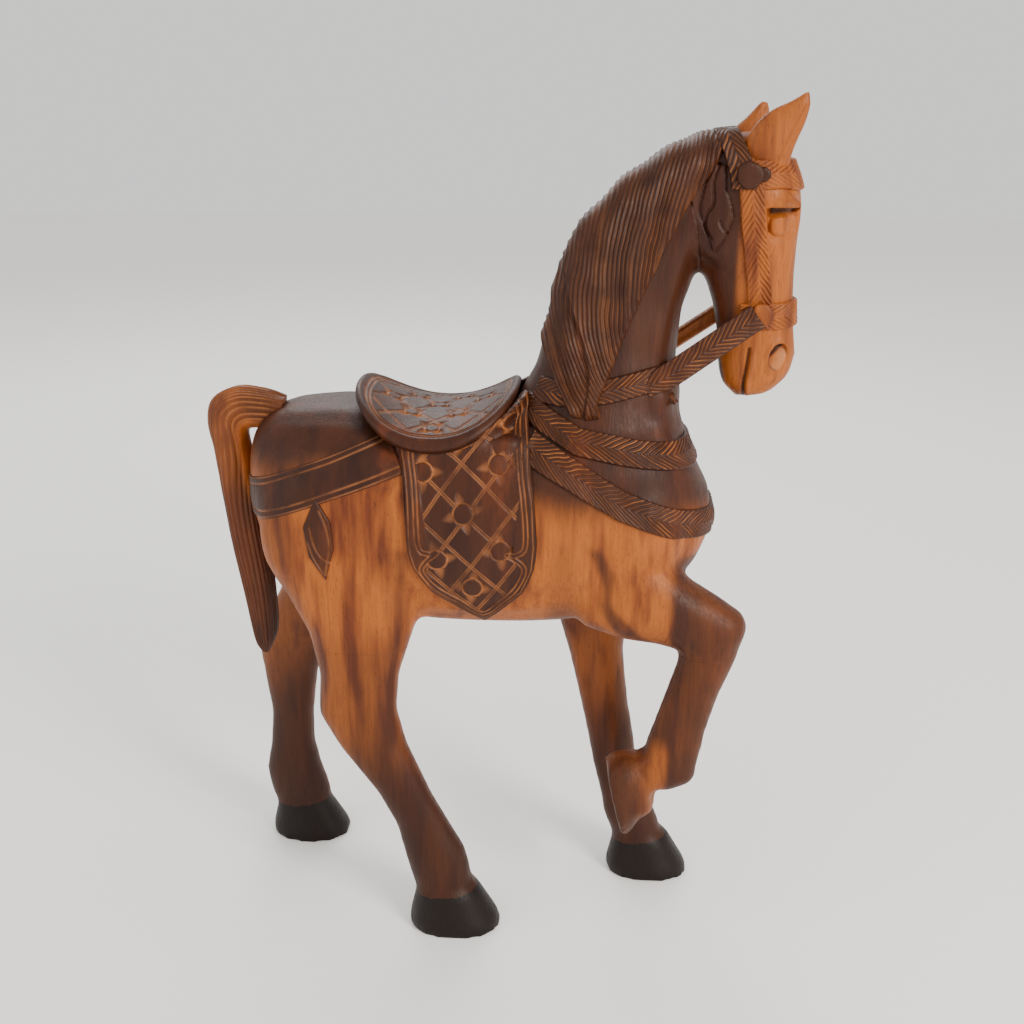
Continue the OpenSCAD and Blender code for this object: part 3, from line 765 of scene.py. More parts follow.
def crest_row(at, way):
    """The neck's skin along one row of the mane, from the crest round to the mane's inner edge."""
    x, z = at_size(*at)
    way = way / np.linalg.norm(way)
    middle, up = np.array([x, 0, z]), np.array([way[0], 0, way[1]])
    row = []
    for angle in np.radians(np.arange(-26, 150, 3)):
        out = math.cos(angle) * up + math.sin(angle) * np.array([0, -1, 0])
        found = hit(middle + 0.16 * out, -out)
        if found is not None:
            row.append(found)
    row = np.array(row)
    x, z = drawn(row)
    near = row[:, 1] < 0
    inner, outer = [np.array(edge[::-1], dtype=float) for edge in (MANE_INNER, MANE_OUTER)]
    over = (x > np.interp(z, inner[:, 1], inner[:, 0])) & near
    stop = max(int(np.argmax(over)) if over.any() else len(row) - 1, 3)
    begun = (x > np.interp(z, outer[:, 1], outer[:, 0])) & near | (z > 612)
    start = min(int(np.argmax(begun)) if begun.any() else 0, stop - 2)
    return row[start:stop + 1]


def mane_carving(base):
    """Long locks that leave the crest, hang, and close to a point by the breast strap."""
    c = bpy.context.scene.horse_carving
    x, z = drawn(base)
    t = (z - 640) / 100
    # a hair keeps its number along its whole length
    hair = x - 13 * np.where(t > 0, t ** 2 * 1.7, t ** 2 * 1.9) - 3.5 * np.sin((z - 640) / 38) \
        + 1.6 * wander(x, z, 26.0) + 0.5 * wander(x, z, 9.0, 3)
    # the lower lock comes out from under the upper ones
    seam = rounded_line([[48, 690], [62, 668], [66, 640], [74, 610], [83, 580], [86, 552], [80, 520],
                         [76, 505]], 4)
    limit = np.interp(z, seam[::-1, 1], seam[::-1, 0])
    under = np.clip((limit - x) / 2.0, 0, 1) * (z < 700)
    hair = hair + 9 * under
    pitch = c.hair_pitch / MM
    p = hair / pitch
    number = np.floor(p)
    phase = p - number
    groove = (1 - np.abs(2 * phase - 1)) ** 1.4
    groove = 1 - groove
    strong = 0.65 + 0.6 * chance(number)
    lock = 0.5 + 0.5 * np.sin(hair / pitch * 2 * math.pi / 6.3 + 1.3 * np.sin(hair / 31))
    _, w, half = measures(base)
    span = (w + half) / np.maximum(2 * half, 1e-6)
    inner = np.clip((1 - span) * 2 * half / (5 * MM), 0, 1)
    outer = np.clip(span * 2 * half / (6 * MM), 0, 1)
    relief = 7.8 * np.sqrt(1 - (1 - inner) ** 2) * (0.3 + 0.7 * np.sqrt(1 - (1 - outer) ** 2))
    tip = 1.0 + 0.35 * step((560 - z) / 20) - 0.45 * step((516 - z) / 12)
    cuts = 1.5 * groove * strong + 1.3 * (1 - lock) + 2.4 * under
    height = (relief * tip - cuts + 0.6 * wander(x, z, 15)) * MM
    worn = (chance(number, 5) > 0.72) * step((np.sin((z - 600) / 30 + number) + 0.2) / 0.6)
    return np.maximum(height, -1 * MM), np.clip(0.22 * groove ** 4 + 0.18 * (1 - groove) * worn, 0, 1)


# the mane: its edges towards the cheek and the withers, the line inside the crest that its rows
# fan out from, and the way each row looks
MANE_INNER = [[197, 757], [185, 735], [168, 712], [150, 676], [131, 634], [112, 590], [100, 556], [88, 528],
              [77, 507]]
MANE_OUTER = [[10, 612], [36, 596], [46, 570], [55, 548], [64, 528], [74, 507]]
CREST = [[207, 752], [190, 735], [160, 712], [137, 682], [118, 648], [106, 612], [100, 576], [93, 545],
         [84, 520], [78, 509]]
CREST_WAY = [[-25, 62], [-45, 60], [-62, 50], [-72, 40], [-80, 28], [-86, 12], [-86, 0], [-80, -8],
             [-70, -14], [-60, -18]]


# ---- Lofted pieces: stations give [x, z] of one edge, [x, z] of the other, y and half width ----

TAIL = [[-206, 524, -214, 486, 0, 15], [-226, 531, -229, 492, 0, 16], [-252, 533, -241, 492, 0, 17],
        [-276, 521, -244, 486, 0, 18], [-283, 500, -242, 472, 0, 18], [-278, 462, -239, 452, 0, 18],
        [-272, 420, -235, 416, 0, 17], [-266, 370, -230, 368, 0, 15], [-257, 315, -226, 315, 0, 13],
        [-250, 270, -227, 280, 0, 11], [-244, 257, -236, 257, 0, 7]]
RIGHT_EAR = [[252, 742, 210, 746, -25, 10], [256, 756, 213, 757, -27, 10], [260, 768, 221, 775, -29, 8.5],
             [264, 780, 235, 789, -30, 6.5], [267, 794, 251, 797, -31, 4.5], [266, 804, 262, 803, -31, 1.6]]
LEFT_EAR = [[240, 746, 200, 752, 26, 10], [240, 760, 207, 768, 28, 9], [240, 775, 220, 781, 30, 7],
            [240, 787, 230, 791, 31, 4], [238, 793, 234, 794, 31, 1.6]]
BREECHING = [[-270, 426], [-230, 439], [-160, 465], [-84, 493], [-60, 502]]
LEAF_REAR = [[-154, 374], [-170, 396], [-174, 424], [-168, 438], [-162, 452]]
LEAF_FRONT = [[-154, 374], [-146, 404], [-148, 430], [-162, 452]]


def loft(stations, rows, sides, power=2.2):
    """Ring points, (rows, sides, 3), with the angle of each and the place along, 0 to 1."""
    p = rounded_line(stations, 24)
    index = np.linspace(0, len(p) - 1, rows)
    p = np.stack([np.interp(index, np.arange(len(p)), p[:, i]) for i in range(p.shape[1])], axis=1)
    angle = np.linspace(0, 2 * math.pi, sides, endpoint=False)
    ca, sa = np.cos(angle), np.sin(angle)
    ca, sa = [np.sign(v) * np.abs(v) ** (2 / power) for v in (ca, sa)]
    ax, az = (p[:, 0] - p[:, 2]) / 2, (p[:, 1] - p[:, 3]) / 2
    cx, cz = (p[:, 0] + p[:, 2]) / 2, (p[:, 1] + p[:, 3]) / 2
    x = cx[:, None] + ax[:, None] * ca[None, :]
    z = cz[:, None] + az[:, None] * ca[None, :]
    y = p[:, 4][:, None] + p[:, 5][:, None] * sa[None, :]
    sx, sz = at_size(x, z)
    grid = np.stack([sx, (y + 1) * DRAWN, sz], axis=2)
    return grid, angle[None, :] + 0 * x, np.linspace(0, 1, rows)[:, None] + 0 * x


def tube(name, grid, height, cut):
    """A closed mesh round the rings, raised by height."""
    n = np.cross(np.gradient(grid, axis=0), np.roll(grid, -1, axis=1) - np.roll(grid, 1, axis=1))
    n /= np.maximum(np.linalg.norm(n, axis=2, keepdims=True), 1e-12)
    outward = grid - grid.mean(axis=1, keepdims=True)
    if (n * outward).sum() < 0:
        n = -n
        order = 1
    else:
        order = -1
    co = grid + n * height[..., None]
    rows, sides = height.shape
    i, j = np.meshgrid(np.arange(rows - 1), np.arange(sides), indexing="ij")
    a, b = (i * sides + j).ravel(), (i * sides + (j + 1) % sides).ravel()
    quads = np.stack([a, b, b + sides, a + sides], axis=1)[:, ::order]
    faces = quads.tolist()
    start, end = list(range(sides)), list(range((rows - 1) * sides, rows * sides))
    faces += [start[::-order], end[::order]]
    mesh = bpy.data.meshes.new(name)
    mesh.from_pydata(co.reshape(-1, 3).tolist(), [], faces)
    mark = mesh.attributes.new("cut", "FLOAT", "POINT")
    mark.data.foreach_set("value", np.clip(cut, 0, 1).ravel())
    mesh.update()
    return mesh


def disc(name, centre, side, r, back, salt=0.0):
    """A hand-cut button facing +-Y, its rim broken by the knife."""
    angle = np.linspace(0, 2 * math.pi, 72, endpoint=False)
    ragged = 1 + 0.025 * np.sin(3 * angle + salt) + 0.02 * np.sin(7 * angle + 2 * salt)
    rings = []
    for radius, depth in ((0.02, 0.0), (0.35, 0.0), (0.7, 0.1), (0.86, 0.35), (0.95, 0.9), (1.0, 1.9),
                          (1.0, 3.5), (1.02, back)):
        rings.append(np.stack([centre[0] + r * radius * ragged * np.cos(angle),
                               centre[1] - side * depth * MM + 0 * angle,
                               centre[2] + r * radius * ragged * np.sin(angle)], axis=1))
    grid = np.array(rings)
    mesh = tube(name, grid, np.zeros(grid.shape[:2]), np.zeros(grid.shape[:2]))
    return mesh


# ---- The face, cheeks and neck, side view, drawn millimetres --------------------------

CHEEK_LEAF = [[199, 744], [199, 724], [204, 711], [206, 699], [200, 683], [190.7, 669.8], [184.6, 689.7],
              [179, 702], [178.8, 712], [182.7, 729.7], [190, 744]]
CHEEK_CURL = [[193.3, 745], [188.6, 730.5], [189.5, 712], [184, 702.5], [182.8, 691.4], [188.5, 681]]
CHEEK_NOTCH = [[195.5, 697], [197, 692], [202, 686.4]]
MOUTH = [[228, 582], [226.5, 562], [225, 548], [226, 536]]
LOWER_LID = [[240.5, 684], [245, 680.5], [252, 679.5], [260.5, 684.5]]
NECK_EDGE = [[182, 706], [168, 678], [155.5, 629], [147.5, 580], [150, 530], [160, 500]]


def oval(x, z, cx, cz, rx, rz, lean=0.0):
    """Distance from an oval's middle, 1 at its rim; lean turns it, in degrees."""
    a = math.radians(lean)
    dx, dz = x - cx, z - cz
    return np.hypot((dx * math.cos(a) + dz * math.sin(a)) / rx, (-dx * math.sin(a) + dz * math.cos(a)) / rz)


def step(value):
    """0 below 0, 1 above 1, and a smooth rise between."""
    v = np.clip(value, 0, 1)
    return v * v * (3 - 2 * v)


def dome(x, z, cx, cz, r):
    """A soft mound of height 1 about a middle."""
    return np.exp(-(np.hypot(x - cx, z - cz) / r) ** 2)


def carve_face(mesh):
    """Eyes under square brows, nostrils, mouth and the curled leaf on each cheek."""
    co, n = coordinates(mesh), normals(mesh)
    x, z = drawn(co)
    side = step((np.abs(n[:, 1]) - 0.15) / 0.3) * step((np.abs(co[:, 1]) - 6 * MM) / (5 * MM))
    deep = np.zeros(len(co))
    # the brow: a square ledge with the socket cut in under it
    along = step((x - 234) / 4) * step((270 - x) / 6)
    under = step((708.5 - z) / 1.4) * step((z - 672) / 26)
    deep += 4.6 * along * under
    deep += 5.2 * along * step((708.3 - z) / 1.0) * step((z - 698.5) / 3.5)
    deep += 1.6 * np.exp(-(line_distance(x, z, [[238, 706], [238, 688]]) / 1.6) ** 2)
    eye = oval(x, z, 248.5, 692.5, 10.4, 9.6)
    deep -= 4.4 * np.clip(1 - eye ** 2, 0, 1) ** 0.7 * step((703 - z) / 3)
    deep += 1.0 * np.exp(-((eye - 1.05) / 0.14) ** 2) * step((696 - z) / 4)
    # the brow's outer corner is rounded off
    deep += 2.6 * dome(x, z, 268, 709, 7)
    deep += 1.3 * vee(line_distance(x, z, rounded_line(LOWER_LID)), 1.7)
    # the nostril: a flat slanting floor, deepest above and behind
    well = oval(x, z, 255.0, 574.0, 8.2, 12.0, -14)
    floor = np.clip(0.75 + 0.07 * (z - 574) - 0.07 * (x - 255), 0.2, 1.6)
    deep += 5.4 * floor * step((1.06 - well) / 0.12)
    deep -= 0.9 * np.exp(-((well - 1.3) / 0.2) ** 2) * step((z - 566) / 12)
    # the mouth, with the fuller upper lip in front of it
    mouth = line_distance(x, z, rounded_line(MOUTH))
    deep += 2.8 * vee(mouth, 2.2)
    deep -= 1.5 * np.exp(-((mouth - 4.0) / 2.4) ** 2) * (x > 226) * step((585 - z) / 12)
    # the curled leaf on the cheek stands up from a lowered ground
    rim = line_distance(x, z, rounded_line(CHEEK_LEAF + CHEEK_LEAF[:1]))
    leaf = np.array(CHEEK_LEAF, dtype=float)
    a, b = leaf, np.roll(leaf, -1, axis=0)
    crossing = ((a[:, 1][None] > z[:, None]) != (b[:, 1][None] > z[:, None])) & (
        x[:, None] < (b[:, 0] - a[:, 0])[None] * (z[:, None] - a[:, 1][None])
        / np.where(b[:, 1] == a[:, 1], 1e-9, b[:, 1] - a[:, 1])[None] + a[:, 0][None])
    inner = crossing.sum(axis=1) % 2 == 1
    deep += np.where(inner, -1.4 * np.sqrt(np.clip(rim / 5, 0, 1)), 2.4 * np.exp(-rim / 2.4))
    for line, depth in ((CHEEK_CURL, 2.4), (CHEEK_NOTCH, 2.2)):
        deep += depth * vee(line_distance(x, z, rounded_line(line)), 1.8)
    # knife facets along the jaw
    deep += 0.35 * wander(x, z, 15.0, 1)
    # painted highlight: the lower part of the nostril's floor is painted pale with the cut colour
    mark = mesh.attributes.new("cut", "FLOAT", "POINT")
    lit_nostril_floor = step((1.0 - well) / 0.1) * step((1.15 - floor) / 0.3)
    mark.data.foreach_set("value", np.clip(0.8 * lit_nostril_floor * side, 0, 1))
    way = 0.35 * n + 0.65 * np.stack([0 * x, np.sign(co[:, 1]), 0 * x], axis=1)
    set_coordinates(mesh, co - way * (deep * side * MM)[:, None])


def carve_neck(mesh):
    """The long flat sides of the neck meet its narrow front in a crisp edge."""
    co, n = coordinates(mesh), normals(mesh)
    x, z = drawn(co)
    away = line_distance(x, z, rounded_line(NECK_EDGE))
    sides = step(np.abs(n[:, 1]) / 0.35)
    raise_by = (2.2 * np.clip(1 - away / 11, 0, 1) - 1.0 * np.exp(-((away - 17) / 8) ** 2)) * sides
    # a little fuller over the top of the front dowel
    raise_by = raise_by + 4.0 * dome(x, z, 155, 538, 15)
    set_coordinates(mesh, co + n * (raise_by * MM)[:, None])


def carve_raised_hoof(mesh):
    """The raised foot: a notch under the fetlock and a coronet line round the folded hoof."""
    co, n = coordinates(mesh), normals(mesh)
    x, z = drawn(co)
    front = step((n[:, 0] - 0.1) / 0.4)
    coronet = line_distance(x, z, rounded_line([[138, 186], [143, 172], [152, 158]]))
    deep = 9.0 * dome(x, z, 160, 141, 10) - 3.0 * dome(x, z, 189, 160, 13)
    deep -= 6.0 * front * dome(x, z, 149, 134, 12)
    deep += 3.0 * dome(x, z, 140, 192, 8)
    deep += 0.7 * np.exp(-(coronet / 2.2) ** 2)
    set_coordinates(mesh, co - n * (deep * (z < 215) * MM)[:, None])


def paint(mesh, depth):
    """How deeply the brown stain and the painted shade have been laid on, point by point, and where painted
    sunlight leaves the wood pale.
    """
    mark = mesh.attributes.new("stain_and_shade", "FLOAT", "POINT")
    mark.data.foreach_set("value", np.clip(depth, 0, 1))


def head_darkening_and_shade(x, z):
    """Darker behind the cheek strap, with painted shade in the deep cuts of eye, nostril and mouth."""
    cheek = 0.9 * step((221 - x) / 16) * step((z - 560) / 60) + 0.15
    well = oval(x, z, 255.0, 574.0, 8.2, 12.0, -14)
    # painted shade under the nostril's rim behind and below, and in the roof of its well
    ring = 0.8 * step((1.2 - well) / 0.2) * step((well - 0.70) / 0.25)
    ring = ring * step((574 - z + 0.5 * (255 - x)) / 6 + 0.4) * (x < 254)
    nostril_roof_shade = step((1.1 - well) / 0.1) * step((0.07 * (z - 574) - 0.07 * (x - 255) - 0.25) / 0.3)
    # painted shade in the slot under the brow
    slot = step((x - 237.5) / 2) * step((266 - x) / 7)
    slot = slot * step((z - 700 - 0.05 * (x - 238)) / 4) * step((710 - z) / 1.5)
    # painted shade along the mouth's cut
    mouth_shade = np.exp(-(line_distance(x, z, rounded_line(MOUTH)) / 1.8) ** 2)
    for hollow in (ring, nostril_roof_shade, slot, 0.8 * mouth_shade):
        cheek = np.maximum(cheek, 0.9 * hollow)
    return cheek


def stain_and_shade_of(co):
    """Stain and painted light on the body: back, neck and cheeks dark, belly and thighs nearly bare, hooves
    black; the legs darken downward partly as painted shade, the raised forearm is dark as painted shade, and the
    raised foot is pale as painted sunlight.
    """
    x, z = drawn(co)
    y = co[:, 1] / MM
    near = y < 0
    back = step((z + 0.12 * x - 418) / 70) * 0.92
    neck = 0.95 * step((z - 485) / 30)
    throat = np.interp(z, [500, 580, 629, 681, 712], [160, 150, 158, 171, 185])
    front = step((x - throat + 2) / 4)
    neck = neck * (1 - 0.75 * front * step((z - 505) / 20))
    behind_cheeks = step((x * 0.978 + z * 0.208 - 316) / 4) <= 0.5
    body = np.where(behind_cheeks, np.maximum(back, neck), head_darkening_and_shade(x, z))
    # the legs darken towards the hooves: partly stain, partly painted shade
    legs = (0.46 + 0.36 * step((280 - z) / 180)) * step((375 - z) / 90)
    # a dark run of heartwood from the flank down the front of the near hind leg
    run = np.interp(z, [60, 120, 200, 270, 330, 400, 450], [-48, -66, -98, -98, -88, -84, -90])
    figure = 0.62 * np.exp(-((x - run) / 17) ** 2) * near * step((455 - z) / 30)
    # and one that curls round the elbow
    curl = line_distance(x, z, rounded_line([[90, 420], [104, 380], [108, 345], [126, 322], [152, 306]]))
    curl = curl + 3.0 * wander(x, z, 12.0, 1)
    figure = np.maximum(figure, 0.6 * np.exp(-(curl / 9.0) ** 2) * near)
    # painted shade: the raised forearm and shin are darkened, carried along with the heartwood runs
    raised_leg_shade = 0.62 * step((x - 152) / 20) * (y < -18) * step((z - 175) / 30) * (z < 400)
    figure = np.maximum(figure, raised_leg_shade)
    body = np.maximum(body, legs)
    body = np.maximum(body, figure * step((400 - z) / 20 + (x < 160)) * (z < 460))
    # the raised foot is painted pale, as painted sunlight
    foot = step((172 - x) / 10) * step((214 - z) / 26) * (y < -20) * (x > 95) * (z > 80)
    body = body * (1 - foot) + 0.16 * foot
    body = np.minimum(body, 0.94)
    for toe, heel, side in ((6, -86, -80), (-177, -264, 80), (199, 112, 30)):
        hoof = (x < toe + 12) & (x > heel - 12) & (np.abs(y - side) < 45)
        line = 38 + 8 * (x - heel) / (toe - heel)
        body = np.maximum(body, hoof * step((line + 2 - z) / 3))
    return body


# ---- Operators ------------------------------------------------------------------

class CarveBody(bpy.types.Operator):
    """Carve the torso, neck, head and legs"""
    bl_idname = "horse.carve_body"
    bl_label = "Carve body"

    def execute(self, context):
        s = context.scene.horse_blocks
        body = rough_out()
        leg_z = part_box("left_hind_leg")[1].z
        knee_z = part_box("right_fore_shin")[1].z
        up, down = Vector((0, 0, 1)), Vector((0, 0, -1))
        leg_top, knee = Vector((0, 0, leg_z)), Vector((0, 0, knee_z))
        neck_at, head_at, arm_at = Vector(s.neck_joint), Vector(s.head_joint), Vector(s.forearm_joint)
        neck_up, head_on, arm_on = tilted(s.neck_slope), tilted(s.head_slope), tilted(s.forearm_slope)
        margin = 10 * MM                 # each block is taken this much too large, then sawn to its faces
        parting = -12 * MM               # between the two forelegs
        inner, near = Vector((0, -20 * MM, 0)), Vector((0, -1, 0))
        heart, sap = "waxed suar heartwood", "waxed suar sapwood"

        def past(co, at, way, over):
            return (co - np.array(at)) @ np.array(way) > over

        def forearm(co):
            return past(co, arm_at, arm_on, -margin) & (co[:, 1] < parting) & (co[:, 2] > knee_z - margin)

        def raised_shin(co):
            return (co[:, 2] < knee_z + margin) & (co[:, 1] < parting) & (co[:, 0] > 90 * MM)

        def neck_block(co):
            return past(co, neck_at, neck_up, -margin) & ~past(co, head_at, head_on, margin)

        def torso_block(co):
            arm = past(co, arm_at, arm_on, margin) & (co[:, 2] < knee_z + 2 * margin)
            return (co[:, 2] > leg_z - margin) & ~past(co, neck_at, neck_up, margin) & ~arm

        arm = block(body, forearm, (knee, down), (arm_at, -arm_on), (inner, -near))
        shown("right_forearm_carved", arm, "right_forearm", material=heart, slot="body_wood")
        shin = block(body, raised_shin, (knee, up))
        carve_raised_hoof(shin)
        shown("right_fore_shin_carved", shin, "right_fore_shin", material=heart, slot="body_wood")
        for name, rear, front, beyond, side, finish, slot in (
                ("left_fore_leg", 0, 400, parting, 1, sap, "gold_wood"),
                ("right_hind_leg", -400, 30, 0, -1, heart, "body_wood"),
                ("left_hind_leg", -400, -50, 0, 1, heart, "body_wood")):
            def leg(co):
                along = (co[:, 0] > rear * MM) & (co[:, 0] < front * MM)
                return along & (side * (co[:, 1] - beyond) > 0) & (co[:, 2] < leg_z + margin)
            shown(name + "_carved", block(body, leg, (leg_top, up)), name, material=finish, slot=slot)
        head = block(body, lambda co: past(co, head_at, head_on, -margin), (head_at, -head_on))
        head = with_modifiers(head, ("SUBSURF", {"subdivision_type": "SIMPLE", "levels": 1}))
        carve_face(head)
        shown("head_carved", head, "head", material=sap, slot="gold_wood")
        neck = block(body, neck_block, (neck_at, -neck_up), (head_at, head_on))
        carve_neck(neck)
        shown("neck_carved", neck, "neck", material=heart, slot="body_wood")
        torso = block(body, torso_block, (leg_top, down), (neck_at, neck_up))
        torso = wedge_out(torso, (arm_at, arm_on), (inner, near))
        shown("torso_carved", torso, "torso", material=heart, slot="body_wood")
        return {"FINISHED"}


class CarveHarness(bpy.types.Operator):
    """Carve the plaited straps of breast, neck and bridle"""
    bl_idname = "horse.carve_harness"
    bl_label = "Carve harness"

    def execute(self, context):
        finish, slot = "stained carved suar", "strap_wood"
        turn = math.radians
        chest = (0.080, 0.0)
        upper = band_round(UPPER_BREAST, 23 * MM, chest, (turn(-145), turn(145)), samples=280, from_x=0.0285)
        lower = band_round(LOWER_BREAST, 26 * MM, chest, (turn(-145), turn(145)), samples=280, from_x=0.0285)
        shown("upper_breast_strap_carved", strap("upper", upper, apex=-1, mirror=True, salt=1),
              "upper_breast_strap", material=finish, slot=slot)
        shown("lower_breast_strap_carved", strap("lower", lower, apex=-1, mirror=True, salt=2),
              "lower_breast_strap", material=finish, slot=slot)
        nape = (0.100, 0.0)
        for side, name in SIDES:
            skin = band_round(NECK_REIN, 22 * MM, nape, (side * turn(26), side * turn(165)), samples=110,
                              from_x=0.042)
            shown(name + "_neck_rein_carved", strap(name, skin, apex=-1, salt=3 + side),
                  name + "_neck_rein", material=finish, slot=slot)
        nose = band_round(NOSE, 24 * MM, (0.2330, 0.0), (turn(-112), turn(112)), samples=90)
        shown("noseband_carved", strap("nose", nose, apex=-1, mirror=True, salt=5), "noseband",
              material="carved suar sapwood", slot=slot)
        brow = band_round(BROW, 24 * MM, (0.2230, 0.0), (turn(-112), turn(112)), samples=90)
        shown("browband_carved", strap("brow", brow, apex=-1, mirror=True, salt=6), "browband",
              material="carved suar sapwood", slot=slot)
        across = np.linspace(-11, 11, 7) * MM
        for side, name in SIDES:
            rows = []
            for z in np.linspace(0.733, 0.612, 50):
                x = np.interp(z, at_size(0, [p[1] for p in CHEEK])[1][::-1],
                              at_size([p[0] for p in CHEEK], 0)[0][::-1])
                rows.append([hit((x + v, side * 0.2, z), (0, -side, 0)) for v in across])
            skin = np.array(rows)
            shown(name + "_cheek_strap_carved", strap(name, skin, apex=1, salt=7 + side),
                  name + "_cheek_strap", material="carved suar sapwood", slot=slot)
        rows = []
        for angle in np.linspace(turn(-112), turn(112), 60):
            way = np.array([0, math.sin(angle), math.cos(angle)])
            z = 0.76
            row = []
            for v in across:
                for _ in range(4):
                    x = np.interp(z, [0.728, 0.750, 0.775], [0.2180, 0.2115, 0.1990]) + v
                    at = hit(np.array([x, 0, 0.738]) + 0.1 * way, -way)
                    if at is None:
                        break
                    z = at[2]
                row.append(at)
            if all(point is not None for point in row):
                rows.append(row)
        crown = strap("crown", np.array(rows), relief=6 * MM, apex=1, mirror=True, salt=9)
        shown("crown_strap_carved", crown, "crown_strap", material=finish, slot=slot)
        return {"FINISHED"}


class CarveReins(bpy.types.Operator):
    """Carve the two reins that stand free between bit and neck"""
    bl_idname = "horse.carve_reins"
    bl_label = "Carve reins"

    def execute(self, context):
        for side, name in SIDES:
            width, lift = (23, 0) if name == "right" else (16, 9)
            start = np.array([0.2364, side * 0.0385, 0.6125 + lift * MM])
            end = np.array([0.1400, side * 0.0460, 0.5450 + lift * MM])
            along = (end - start) / np.linalg.norm(end - start)
            across = np.cross(along, [0, 1, 0])
            across /= np.linalg.norm(across)
            s = np.linspace(0, 1, 20)[:, None, None]
            v = np.linspace(-0.5, 0.5, 9)[None, :, None]
            narrow = 1 - 0.45 * step((s - 0.80) / 0.2) * (v * across[2] < 0)
            skin = start + (end - start) * s + across * v * narrow * width * MM
            skin[..., 1] += side * (2.0 * MM - 8 * MM * np.squeeze(v, 2) ** 2)
            length = np.linalg.norm(end - start)
            base = spread(skin, int(length / PLAIT_GRID), int(width * MM / PLAIT_GRID) | 1)
            height, groove = plait(base, 1.5 * MM, apex=-1, salt=11 + side)
            mesh = sheet(name, base, height, groove, embed=7 * MM, outward=np.array([0, side, 0]))
            # the left rein takes the pale sapwood finish as painted sunlight; the right rein is stained dark
            shown(name + "_rein_carved", mesh, name + "_rein",
                  material="stained carved suar" if name == "right" else "waxed suar sapwood",
                  slot="strap_wood" if name == "right" else "rein_wood")
        return {"FINISHED"}


class CarveEarsAndTail(bpy.types.Operator):
    """Carve the hollow ears and the grooved tail"""
    bl_idname = "horse.carve_ears_and_tail"
    bl_label = "Carve ears and tail"

    def execute(self, context):
        for name, stations, salt in (("right_ear", RIGHT_EAR, 0), ("left_ear", LEFT_EAR, 2)):
            grid, angle, along = loft(stations, 70, 96)
            # the inner face is scooped out, and a knife line runs up the outer one
            size = np.linalg.norm(grid[:, 0] - grid[:, 48], axis=1)[:, None]
            centre = 1.15 if name == "right_ear" else -1.15 + 2 * math.pi
            hollow = np.clip(1 - ((angle - centre) / 0.75) ** 2, 0, 1)
            hollow = hollow * step(along * 3 - 0.2) * step((0.93 - along) * 4)
            line = vee(angle - (2 * math.pi - centre) - 0.12 * np.sin(3 * along), 0.07)
            line = line * step((0.9 - along) * 5)
            height = -0.16 * size * hollow - 1.1 * MM * line
            height = height + 0.3 * MM * np.sin(9 * along + salt + 2 * np.cos(angle))
            shown(name + "_carved", tube(name, grid, height, 0.25 * hollow), name,
                  material="carved suar sapwood", slot="gold_wood")
        grid, angle, along = loft(TAIL, 330, 168)
        length = 420.0 * along
        hair = angle * 23 / (2 * math.pi)
        hair = hair + 1.1 * np.sin(length / 60 + np.sin(angle)) + 0.35 * np.sin(length / 23)
        number = np.floor(hair)
        phase = hair - number
        groove = np.abs(2 * phase - 1) ** 1.6
        # the inner side of the bend is left smooth, with one leaf-shaped cut
        inner = np.clip((np.cos(angle + math.pi) - 0.35) / 0.3, 0, 1) * np.clip((0.62 - along) / 0.1, 0, 1)
        groove = groove * (1 - inner) * np.clip(along * 12, 0, 1) * (0.55 + 0.6 * chance(number % 23))
        lock = np.sin(hair * 2 * math.pi / 6.2 + 1.2 * np.sin(length / 80))
        height = (-1.5 * groove + 0.9 * lock * (1 - inner)) * MM * np.clip((1 - along) * 6 + 0.4, 0, 1)
        # the pale cuts grow stronger near the top, partly as painted sunlight on the upper bend
        bare = groove ** 2 * (0.25 + 0.7 * step((grid[..., 2] - 0.43) / 0.05))
        mesh = tube("tail", grid, height, bare)
        tail = shown("tail_carved", mesh, "tail", material="tail sapwood with painted sun and shade", slot="tail_wood")
        co = coordinates(tail.data)
        # brown below and pale at the top: partly the wood's own colour, partly painted shade below and painted
        # sunlight above
        paint(tail.data, 0.82 - 0.27 * step((co[:, 2] - 0.40) / 0.06) - 0.45 * inner.ravel()
              + 0.2 * step((co[:, 0] + 0.25) / 0.03) * step((co[:, 2] - 0.49) / 0.02))
        return {"FINISHED"}


